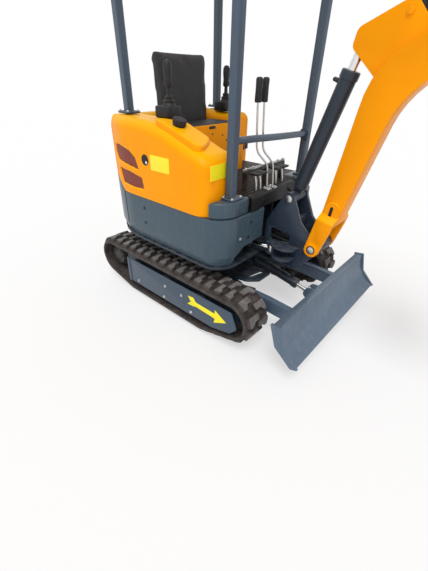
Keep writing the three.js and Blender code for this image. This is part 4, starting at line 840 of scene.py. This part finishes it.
tail_sweep = np.radians(np.linspace(115, 245, 120))
rear_plan = evenly(np.concatenate([
    tail_curve(tail_sweep),
    [(-392, 390), (-387, 384), (-386.6, 370), (-386.6, -370), (-387, -384), (-392, -390)]]), 300)
add("rear_hood_moulding", [hood(rear_plan, [(-470, -290), (-470, 290)], rear_top,
                                lambda x: tail_top(x) + 4, 62, 24)],
    hood_paint, "rear_hood", ["rear_hood_panel"], smooth=50)

weave = Finish("grille_mesh", Metallic=0.3)
cells = weave.node("ShaderNodeMapping", {}, {
    "Vector": weave.place, "Rotation": (0, math.radians(45), 0), "Scale": (1, 0.01, 1)})
strand = weave.node("ShaderNodeTexVoronoi", {}, {
    "Vector": cells, "Scale": 210, "Randomness": 0.0}, "Distance")
# painted shade: the cells between the lighter, raised strands are painted darker, for the holes of a mesh
# that is here a closed sheet
opened = strand.above(0.36, 0.44)
grille_mesh = weave.done(weave.blend(opened, linear("#5a1f16"), linear("#a04e38")),
                         weave.noise(90, 3) * 0.2 + 0.45, opened, 0.0015)
for which, edge_of in (("upper", MESHED_TOP), ("lower", MESHED_LOW)):
    centre = edge_of.mean(0)
    ring_of = evenly(edge_of, 60)
    rows = []
    for share, depth in ((0.1, 9), (1.03, 9), (1.03, 6.5), (0.6, 6), (0.1, 6)):
        place = centre + (ring_of - centre) * share
        rows.append(np.column_stack([place[:, 0], rear_edge(place[:, 0]) + depth, place[:, 1]]))
    add(f"grille_{which}", [rings(np.stack(rows))], grille_mesh, "house")

FILLER = rounded([(-70, -412), (38, -280), (196, -286), (262, -412)], [40, 34, 34, 40], 12)
centre = FILLER.mean(0)
rows = []
for share, lift in ((0.05, -4), (1.0, -4), (1.0, 13), (0.988, 18), (0.965, 20.5), (0.92, 21),
                    (0.45, 21), (0.05, 21)):
    place = centre + (FILLER - centre) * share
    rows.append(np.column_stack([place, right_top(*place.T) + lift]))
add("filler_panel", [rings(np.stack(rows))], hood_paint, "house", smooth=45)

# the cap stands square to the sloping panel, with twelve grips round its edge
slope = unit((120 / 338, 0, 1))
cap_at = np.array([66, -352, right_top(66, -352) + 20])
grip = np.linspace(0, 2 * math.pi, 72, endpoint=False)
grooves = 31 - 2 * (np.cos(grip * 12) > 0.2)
side = unit(np.cross(slope, (0, 1, 0)))
third = np.cross(slope, side)
cap_rows = np.stack([cap_at + slope * lift + (np.cos(grip)[:, None] * side + np.sin(grip)[:, None] * third)
                     * (share * (grooves if lift > 8 else 0 * grip + 27))[:, None]
                     for lift, share in ((0, 1), (6, 1), (9, 1), (26, 1), (30, 0.93), (31, 0.5), (31, 0.1))])
add("fuel_filler_cap", [rings(cap_rows)], black_plastic, "house", ["fuel_cap"])

lock = np.array([-86, -HALF_WIDTH, 833])
# painted shade: a dark disc with a raised rim stands in for the lock's hole, round the plated barrel
add("lock_hole", [turned([(-2, 0.5), (-2, 25), (1.4, 25), (2.2, 23), (1.4, 21), (0.6, 20), (0.6, 0.5)],
                         lock, (0, -1, 0), 40)], hole_shade, "house")
add("lock_barrel", [turned([(0, 0.5), (0, 7), (1.6, 7), (1.8, 6), (1.2, 5), (1.2, 0.5)],
                           lock + (9, 0, -11), (0, -1, 0), 32)], chrome, "house")

sticker_film = sticker("blank_sticker", 50, 0.3, "#ffee14", "#f4df1c", 60, 0.3)
SIDE_STICKER = rounded([(-46, 793), (86, 795), (86, 863), (-46, 863)], 4, 5)
NOSE_STICKER = rounded([(-420, 803), (-306, 803), (-306, 866), (-420, 866)], 4, 5)
add("blank_stickers", [
    plate(SIDE_STICKER, "y", -440.9, -439, 0.3), plate(NOSE_STICKER, "x", 317, 318.9, 0.3)],
    sticker_film, "house")

# ---------------------------------------------------------------------------------------------
# Floor, front apron and post pads
# A ribbed black rubber mat on the footwell plate, its front lip folded down as an apron, between
# two slate-painted pads that carry the front posts.
# ---------------------------------------------------------------------------------------------

mat = Finish("floor_rubber", Specular_IOR_Level=0.35)
scuffs = mat.noise(22, 5).above(0.45, 0.75) * mat.upward()
floor_rubber = mat.done(mat.blend(scuffs * 0.35, linear("#161517"), linear("#4e403a")),
                        mat.noise(60, 3) * 0.2 + 0.45, mat.noise(600, 3), 0.0003)


def finished_in(node, material):
    """Gives a CAD piece that shows as it is its material."""
    frame["nodes"][node].data.materials.clear()
    frame["nodes"][node].data.materials.append(material)


finished_in("floor_plate", floor_rubber)
RIB_PITCH, MAT_TOP = 20, 708
ribs = np.arange(-118, 388 - RIB_PITCH, RIB_PITCH)
along_ribs = (ribs[:, None] + np.array([0, 1.5, 10.5, 12])).reshape(-1)
rise = np.tile([0, 4, 4, 0], len(ribs))
section = np.column_stack([np.concatenate([[-120], along_ribs, [388, 388, -120]]),
                           np.concatenate([[0], rise, [0, -4, -4]])])
rows = np.stack([np.column_stack([section[:, 0], np.full(len(section), y), MAT_TOP + section[:, 1]])
                 for y in np.linspace(-224, 224, 12)])
add("ribbed_mat", [rings(rows)], floor_rubber, "house")


def folded(top, bend_x, radius, foot):
    """One face of the apron from the side: level, round the bend by the cosine and sine, and down."""
    fold = np.radians(np.linspace(90, 0, 9))
    bend = np.stack([bend_x + radius * np.cos(fold), 698 + radius * np.sin(fold)], -1)
    return np.concatenate([[(372, top)], bend, foot])


profile = np.concatenate([folded(712, 392, 14, [(406.4, 662), (406, 643)]),
                          folded(708, 391, 10.5, [(402.8, 662), (403, 643)])[::-1]])
wide = np.linspace(-229, 229, 24)
# near the middle it is cut back and pulled in, so the swing bracket passes under it
hem = np.interp(np.abs(wide), [95, 165], [694, 643])[:, None]
pull = np.interp(np.abs(wide), [95, 165], [7, 0])[:, None] * (profile[:, 0] > 380)
rows = np.stack([profile[:, 0] - pull, np.broadcast_to(wide[:, None], pull.shape),
                 np.maximum(profile[:, 1], hem)], -1)
add("front_apron", [rings(rows)], floor_rubber, "house")

corner = np.radians(np.linspace(-73.6, 0, 14))
PAD_RADIUS = CORNER_RADIUS - 8
PAD = np.concatenate([
    np.stack([CORNER_X + PAD_RADIUS * np.cos(corner), CORNER_Y + PAD_RADIUS * np.sin(corner)], -1),
    [(397, -250), (393, -236), (385, -232.5), (319, -232.5)]])
# the left pad reaches further back than the right one, which meets the hood
LEFT_PAD = np.concatenate([[(278.5, -431.9)], PAD[:-1], [(278.5, -232.5)]]) * (1, -1)
for side, pad in (("right", PAD), ("left", LEFT_PAD)):
    add(f"post_pad_{side}_pressing", [plate(pad, "z", 640.4, 714, 9)], skirt_paint, "house",
        [f"post_pad_{side}"], smooth=50)

# ---------------------------------------------------------------------------------------------
# Controls
# Two bent plated travel levers with plastic grips, four pedals with rubber pads on a cross shaft, and
# a stick with a moulded grip and a bellows on each console.
# ---------------------------------------------------------------------------------------------

finished_in("pedal_shaft", cast_iron)


def swept(path, radius, sides=14):
    """A round bar or hose along a path of points, which a running mean makes smooth: rings of
    radius * (cos a * side + sin a * lift) square to the path, with side square to one fixed line."""
    path = np.asarray(path, float)
    t = np.linspace(0, len(path) - 1, (len(path) - 1) * 8 + 1)
    finely = np.stack([np.interp(t, np.arange(len(path)), path[:, k]) for k in range(3)], -1)
    kernel = np.ones(7) / 7
    padded = np.concatenate([np.repeat(finely[:1], 3, 0), finely, np.repeat(finely[-1:], 3, 0)])
    line = np.stack([np.convolve(padded[:, k], kernel, "valid") for k in range(3)], -1)
    line[0], line[-1] = path[0], path[-1]
    way = np.gradient(line, axis=0)
    way /= np.linalg.norm(way, axis=1, keepdims=True)
    side = np.cross(way, (0.05, 0.998, 0.03) if abs(way[:, 1]).mean() < 0.6 else (0.03, 0.05, 0.998))
    side /= np.linalg.norm(side, axis=1, keepdims=True)
    lift = np.cross(side, way)
    angle = np.linspace(0, 2 * math.pi, sides, endpoint=False)[None, :, None]
    return rings(line[:, None] + radius * (np.cos(angle) * side[:, None] + np.sin(angle) * lift[:, None]))


GRIP = [(0, 0.5), (0, 13), (4, 15), (60, 14), (86, 15), (93, 11), (95, 0.5)]
for side, y in (("right", -62), ("left", -12)):
    add(f"lever_{side}", [
        swept([(372, y, 706), (366, y, 770), (360, y, 825), (338, y - 12, 850), (312, y - 28, 882),
               (306, y - 30, 960), (300, y - 33, 1090)], 4.6),
        plate(rounded([(352, y - 16), (392, y - 16), (392, y + 16), (352, y + 16)], 6), "z", 709, 716, 1.5),
        *bolt_heads([(359, y, 716), (385, y, 716)], (0, 0, 1), 5)],
        zinc, "house", [f"travel_lever_{side}"])
    add(f"lever_grip_{side}", [turned(GRIP, (300.3, y - 33, 1080), (0, 0, 1), 28)],
        black_plastic, "house")
PEDALS = (-128, -92, 44, 104)
add("pedal_stems", [
    *[swept([(352, y, 711), (350, y, 750), (340, y, 785)], 6.5) for y in PEDALS],
    plate(rounded([(-168, 796), (-168, 808), (196, 808), (196, 796)], 2), "x", 296, 302, 1),
    *bolt_heads([(300, y, 808) for y in (-150, -90, -20, 60, 130, 180)], (0, 0, 1), 5)],
    zinc, "house")
add("pedal_pads", [
    plate(rounded([(318, y - 26), (372, y - 26), (372, y + 26), (318, y + 26)], 8), "z", 786, 796, 3)
    for y in PEDALS], floor_rubber, "house")
BELLOWS = [(40, 0.5), (46, 34), (62, 26), (70, 28), (78, 18), (86, 20), (94, 11), (140, 9), (150, 9),
           (150, 0.5)]
STICK_GRIP = [(124, 0.5), (124, 14), (132, 19), (158, 17), (190, 20), (214, 19), (226, 12), (229, 0.5)]
for side, x in (("right", -70), ("left", -200)):
    low, high = map(measured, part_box(f"control_stick_{side}"))
    at = np.array([x, (low[1] + high[1]) / 2, low[2]])
    console = rounded([(low[0], low[1]), (high[0], low[1]), (high[0], high[1]), (low[0], high[1])], 18)
    add(f"stick_{side}", [
        plate(console, "z", low[2], low[2] + 50, 8), turned(BELLOWS, at, (0, 0, 1), 28),
        turned(STICK_GRIP, at, (0, 0, 1), 28)],
        black_plastic, "house", [f"control_stick_{side}"])

# ---------------------------------------------------------------------------------------------
# Seat
# Foam pads in black vinyl on a moulded plastic pan, over a box whose yellow front has three studs and
# a slot, whose shade is painted in as a dark plate. The pads are blown up as cloth and have no seam.
# ---------------------------------------------------------------------------------------------

dressed("seat_base", black_plastic, "house", 6)
add("seat_box_front", [
    plate(rounded([(-200, 706), (200, 706), (200, 966), (-200, 966)], 10), "x", 10.3, 14, 1.2)],
    hood_paint, "house")
STUD = [(-1, 0.5), (-1, 5), (1.4, 4.5), (2, 0.5)]
# painted shade: the thin black plate stands in for a slot in the box's front; the studs are black plastic
add("seat_box_slot_shade_and_studs", [
    plate(rounded([(-96, 946), (-48, 946), (-48, 960), (-96, 960)], 5), "x", 13.5, 14.6, 0.3),
    *[turned(STUD, (14, y, z), (1, 0, 0), 16) for y, z in ((-70, 922), (10, 911), (45, 882))]],
    black_plastic, "house")
vinyl = Finish("seat_vinyl", Specular_IOR_Level=0.4)
grain = vinyl.node("ShaderNodeTexVoronoi", {"feature": "DISTANCE_TO_EDGE"}, {
    "Vector": vinyl.place, "Scale": 330}, "Distance")
seat_vinyl = vinyl.done(vinyl.blend(vinyl.noise(16, 4), linear("#18191b"), linear("#26272a")),
                        vinyl.noise(40, 3) * 0.15 + 0.42, grain.above(0, 0.12), 0.0004)
SHRINK, SWELL = 0.008, 0.012    # metres: how much smaller a pad starts, and how far it may swell
PAD_MARGIN = 0.0005             # a pad stays this far inside its CAD solid's box


def stuffed(node):
    """A padded piece from its CAD solid: drawn in by SHRINK, remeshed, blown up as cloth under pressure
    and held to SWELL from where it started."""
    mesh = frame["nodes"][node].data.copy()
    work = bmesh.new()
    work.from_mesh(mesh)
    bmesh.ops.remove_doubles(work, verts=work.verts, dist=1e-5)
    work.to_mesh(mesh)
    work.free()
    low, high = map(np.array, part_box(node))
    middle, half = (low + high) / 2, (high - low) / 2
    place = middle + (corners_of(mesh) - middle) * (half - SHRINK) / half
    mesh.vertices.foreach_set("co", place.reshape(-1))
    pad = bpy.data.objects.new(f"{node}_pad", mesh)
    bpy.context.scene.collection.objects.link(pad)
    voxels = pad.modifiers.new("voxels", "REMESH")
    voxels.mode, voxels.voxel_size = "VOXEL", 0.008
    soft = pad.modifiers.new("soften", "SMOOTH")
    soft.iterations = 6
    graph = bpy.context.evaluated_depsgraph_get()
    start = bpy.data.meshes.new_from_object(pad.evaluated_get(graph))
    pad.modifiers.clear()
    pad.data = start
    before = after = corners_of(start)
    cloth = pad.modifiers.new("cloth", "CLOTH")
    cloth.settings.use_pressure = True
    cloth.settings.uniform_pressure_force = 4
    cloth.settings.effector_weights.gravity = 0
    for number in range(1, 21):
        bpy.context.scene.frame_set(number)
    graph = bpy.context.evaluated_depsgraph_get()
    after = corners_of(bpy.data.meshes.new_from_object(pad.evaluated_get(graph)))
    pad.modifiers.clear()
    bpy.context.scene.frame_set(1)
    moved = after - before
    far = np.linalg.norm(moved, axis=1, keepdims=True)
    after = before + moved * np.minimum(1, SWELL / np.maximum(far, 1e-9))
    after = np.clip(after, low + PAD_MARGIN, high - PAD_MARGIN)
    start.vertices.foreach_set("co", after.reshape(-1))
    start.update()
    start.polygons.foreach_set("use_smooth", np.ones(len(start.polygons), bool))
    start.materials.clear()
    start.materials.append(seat_vinyl)
    finer = pad.modifiers.new("finer", "SUBSURF")
    finer.levels = finer.render_levels = 1
    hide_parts(node)
    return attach(pad, "house")


stuffed("seat_cushion")
stuffed("seat_back")

# ---------------------------------------------------------------------------------------------
# Canopy
# Four square steel posts with bolted feet, and a tube between the front pair with a collar at the
# left post, in slate paint; the roof that they carry is one yellow moulding.
# ---------------------------------------------------------------------------------------------

POST_FEET = {"front": (345, 312, 724, (-17, 32)), "rear": (-318, 335, 1021, (-32, 32))}
for where, (x, y, z, along) in POST_FEET.items():
    for side, sign in (("right", -1), ("left", 1)):
        dressed(f"{where}_post_{side}", slate_paint, "house", 5)
        bolted(f"{where}_post_bolts_{side}", [
            (x + dx, sign * y + dy, z) for dx in along for dy in (-30, 30)], (0, 0, 1), 6, "house")
low, high = map(measured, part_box("front_rail"))
COLLAR = [(0, 15.5), (0, 27), (1.5, 28), (5, 28), (6, 27), (6, 15.5)]
add("front_rail_tube", [
    swept([(345, low[1], 950), (346, -170, 947), (348, -60, 941), (347, 60, 935), (345, high[1], 926)],
          15, 24),
    turned(COLLAR, (345, high[1], 926), (0, -1, 0), 28, "loop")],
    slate_paint, "house", ["front_rail"])
# the last colour is a painted highlight: faces that look up are painted paler yellow for the light from
# above
roof_paint = painted("roof_yellow", "#ffa200", "#f99800", 0.36, 0.1, 0.0, 0.1, "#ffbc00")
dressed("canopy_roof", roof_paint, "house", 7)

# ---------------------------------------------------------------------------------------------
# Swing bracket and its cylinder
# Two thick dark plates on a kingpin between the platform's lugs, with hoses led through their
# window, pins with plated heads, and two ears at the right for the cylinder that swings it.
# ---------------------------------------------------------------------------------------------

bracket_paint = painted("bracket_paint", "#2d3744", "#384556", 0.28, 0.25)
dressed("swing_bracket_frame", bracket_paint, "swing_bracket", 2.5)
black_hose = mottled("hydraulic_hose", (80, 4), "#141416", "#25262a", (200, 3), 0.2, 0.45, (900, 2), 0.0003)
add("window_hoses", [
    swept([(398, -34 + 16 * k, 470 + 13 * k), (440, -36 + 15 * k, 472 + 13 * k),
           (500, -38 + 17 * k, 468 + 14 * k), (548, -30 + 15 * k, 466 + 13 * k)], 8.5) for k in range(4)],
    black_hose, "swing_bracket")
kingpin = measured(pins["boom_swing"])
KINGPIN_HEAD = [(0, 0.5), (0, 33), (5, 34), (9, 30), (9, 12), (12, 11), (12, 0.5)]
RAM_PIN_HEAD = [(0, 0.5), (0, 18), (4, 18), (6, 15), (6, 0.5)]
add("bracket_pins", [
    turned(KINGPIN_HEAD, (kingpin[0], 0, 420), (0, 0, 1), 36),
    *[turned(RAM_PIN_HEAD, (504, sign * 70, 692), (0, sign, 0), 30) for sign in (-1, 1)]],
    zinc, "swing_bracket")
EARS = {
    "upper": (458, 468, [(440, -62), (600, -62), (592, -120), (556, -152), (500, -150), (448, -112)]),
    "lower": (403, 413, [(470, -62), (590, -62), (584, -126), (548, -160), (500, -152), (470, -112)])}
for which, (low, high, ear) in EARS.items():
    add(f"swing_ear_{which}", [plate(rounded(ear, [4, 8, 30, 34, 34, 20]), "z", low, high, 2.5)],
        bracket_paint, "swing_bracket")
ram("swing_cylinder", 25, 13, 20, 10, 105, (0, 0, 1), "swing_barrel_turn", "swing_rod_slide", ports=-1)

# ---------------------------------------------------------------------------------------------
# Boom and its cylinder
# A welded yellow box with a forked foot and doubler rings round its foot pins, a boss on each side
# with a slot whose shade is painted in as a dark plate, and lugs on its back.
# ---------------------------------------------------------------------------------------------

# the last colour is a painted highlight: faces that look up are painted paler yellow for the light from
# above
boom_paint = painted("boom_yellow", "#ffa000", "#fb9800", 0.34, 0.0, 0.0, 0.1, "#ffc000")
dressed("boom_frame", boom_paint, "boom", 3.5)
foot_pin = measured(pins["boom_lift"])
FOOT_PIN_HEAD = [(0, 0.5), (0, 17), (3, 17), (5, 14), (5, 6), (8, 6), (9, 4), (9, 0.5)]
FOOT_DOUBLER = [(-1, 22), (-1, 34), (4, 34), (5.5, 32), (5.5, 22)]
BOSS = [(-1, 0.5), (-1, 38), (7, 38), (9, 36), (9, 0.5)]
SLOT = rounded([(701, 656), (716, 654), (720, 700), (706, 702)], 7)
for side, sign in (("right", -1), ("left", 1)):
    outwards = (0, sign, 0)
    add(f"foot_pin_{side}", [turned(FOOT_PIN_HEAD, foot_pin + (0, sign * 95, 0), outwards, 30)],
        zinc, "boom")
    add(f"foot_doubler_{side}", [
        turned(FOOT_DOUBLER, foot_pin + (0, sign * 90, 0), outwards, 40, "loop")],
        boom_paint, "boom")
    add(f"boom_doubler_{side}", [turned(BOSS, (714, sign * 50, 683), outwards, 44)],
        boom_paint, "boom")
    # painted shade: a thin dark plate on the boss stands in for the slot
    add(f"boom_slot_shade_{side}", [plate(SLOT, "y", *sorted((sign * 58.6, sign * 59.6)), 0.2)],
        hole_shade, "boom")
ram("boom_cylinder", 33, 17, 26, 15, 92, (0, 1, 0), "boom_barrel_turn", "boom_rod_slide", half=51.2)

# ---------------------------------------------------------------------------------------------
# Arm and its cylinder
# A welded yellow box on a pin with plated heads, with lugs for its own cylinder and the bucket's.
# The cylinder lies along the boom's back.
# ---------------------------------------------------------------------------------------------

dressed("arm_frame", boom_paint, "arm", 3)
ram("arm_cylinder", 27, 14, 24, 12, 340, (0, 1, 0), "arm_barrel_turn", "arm_rod_slide")
arm_pin = measured(pins["arm_pivot"])
ARM_PIN_HEAD = [(0, 0.5), (0, 22), (4, 22), (6, 19), (6, 7), (10, 6), (10, 0.5)]
for side, sign in (("right", -1), ("left", 1)):
    add(f"arm_pin_head_{side}", [turned(ARM_PIN_HEAD, arm_pin + (0, sign * 57, 0), (0, sign, 0), 32)],
        zinc, "boom")

# ---------------------------------------------------------------------------------------------
# Bucket, rocker and link
# A trenching bucket of dark painted steel plate with four teeth, turned through a painted rocker
# and a cast link by the last cylinder.
# ---------------------------------------------------------------------------------------------

dressed("bucket_shell", dark_paint, "bucket", 2)
dressed("rocker_link", dark_paint, "rocker", 2)
dressed("bucket_link", cast_iron, "link", 2)
ram("bucket_cylinder", 24, 13, 22, 11, 290, (0, 1, 0), "bucket_barrel_turn", "bucket_rod_slide",
    ports=-1)

# ---------------------------------------------------------------------------------------------
# Engine
# One plain block under the rear hood, which stands for the cast engine and its mass, in rough
# aluminium paint.
# ---------------------------------------------------------------------------------------------

engine_alloy = mottled("engine_alloy", (14, 5), "#6d7073", "#8b8d8e", (70, 4), 0.25, 0.45, (180, 5), 0.0008,
                       Metallic=0.4)
dressed("engine", engine_alloy, "house", 8)

# ---------------------------------------------------------------------------------------------
# Floor of the studio, and the sizes
# A wide pale sheet just under the tracks. The camera sees it partly by its own light, so that it is
# white with a soft shadow; no other ray sees that light.
# ---------------------------------------------------------------------------------------------

SHEET_HALF, SHEET_DROP, OWN_LIGHT = 60, 0.0005, 0.55
ground = bpy.data.meshes.new("studio_floor")
ground.from_pydata([(x * SHEET_HALF, y * SHEET_HALF, -SHEET_DROP)
                    for x, y in ((-1, -1), (1, -1), (1, 1), (-1, 1))], [], [(0, 1, 2, 3)])
studio_floor = bpy.data.objects.new("studio_floor", ground)
bpy.context.scene.collection.objects.link(studio_floor)
sheet = Finish("studio_floor", Specular_IOR_Level=0.1)
ground.materials.append(sheet.done(
    sheet.blend(sheet.noise(2, 2) * 0.2, (0.94, 0.94, 0.94, 1), (0.92, 0.92, 0.92, 1)), 0.9))
glow = sheet.tree.nodes.new("ShaderNodeEmission")
path = sheet.node("ShaderNodeLightPath", {}, {}, "Is Camera Ray")
mix = sheet.tree.nodes.new("ShaderNodeMixShader")
sheet.feed(mix.inputs[0], path * OWN_LIGHT)
sheet.tree.links.new(sheet.shader.outputs[0], mix.inputs[1])
sheet.tree.links.new(glow.outputs[0], mix.inputs[2])
sheet.tree.links.new(mix.outputs[0], sheet.tree.nodes["Material Output"].inputs["Surface"])
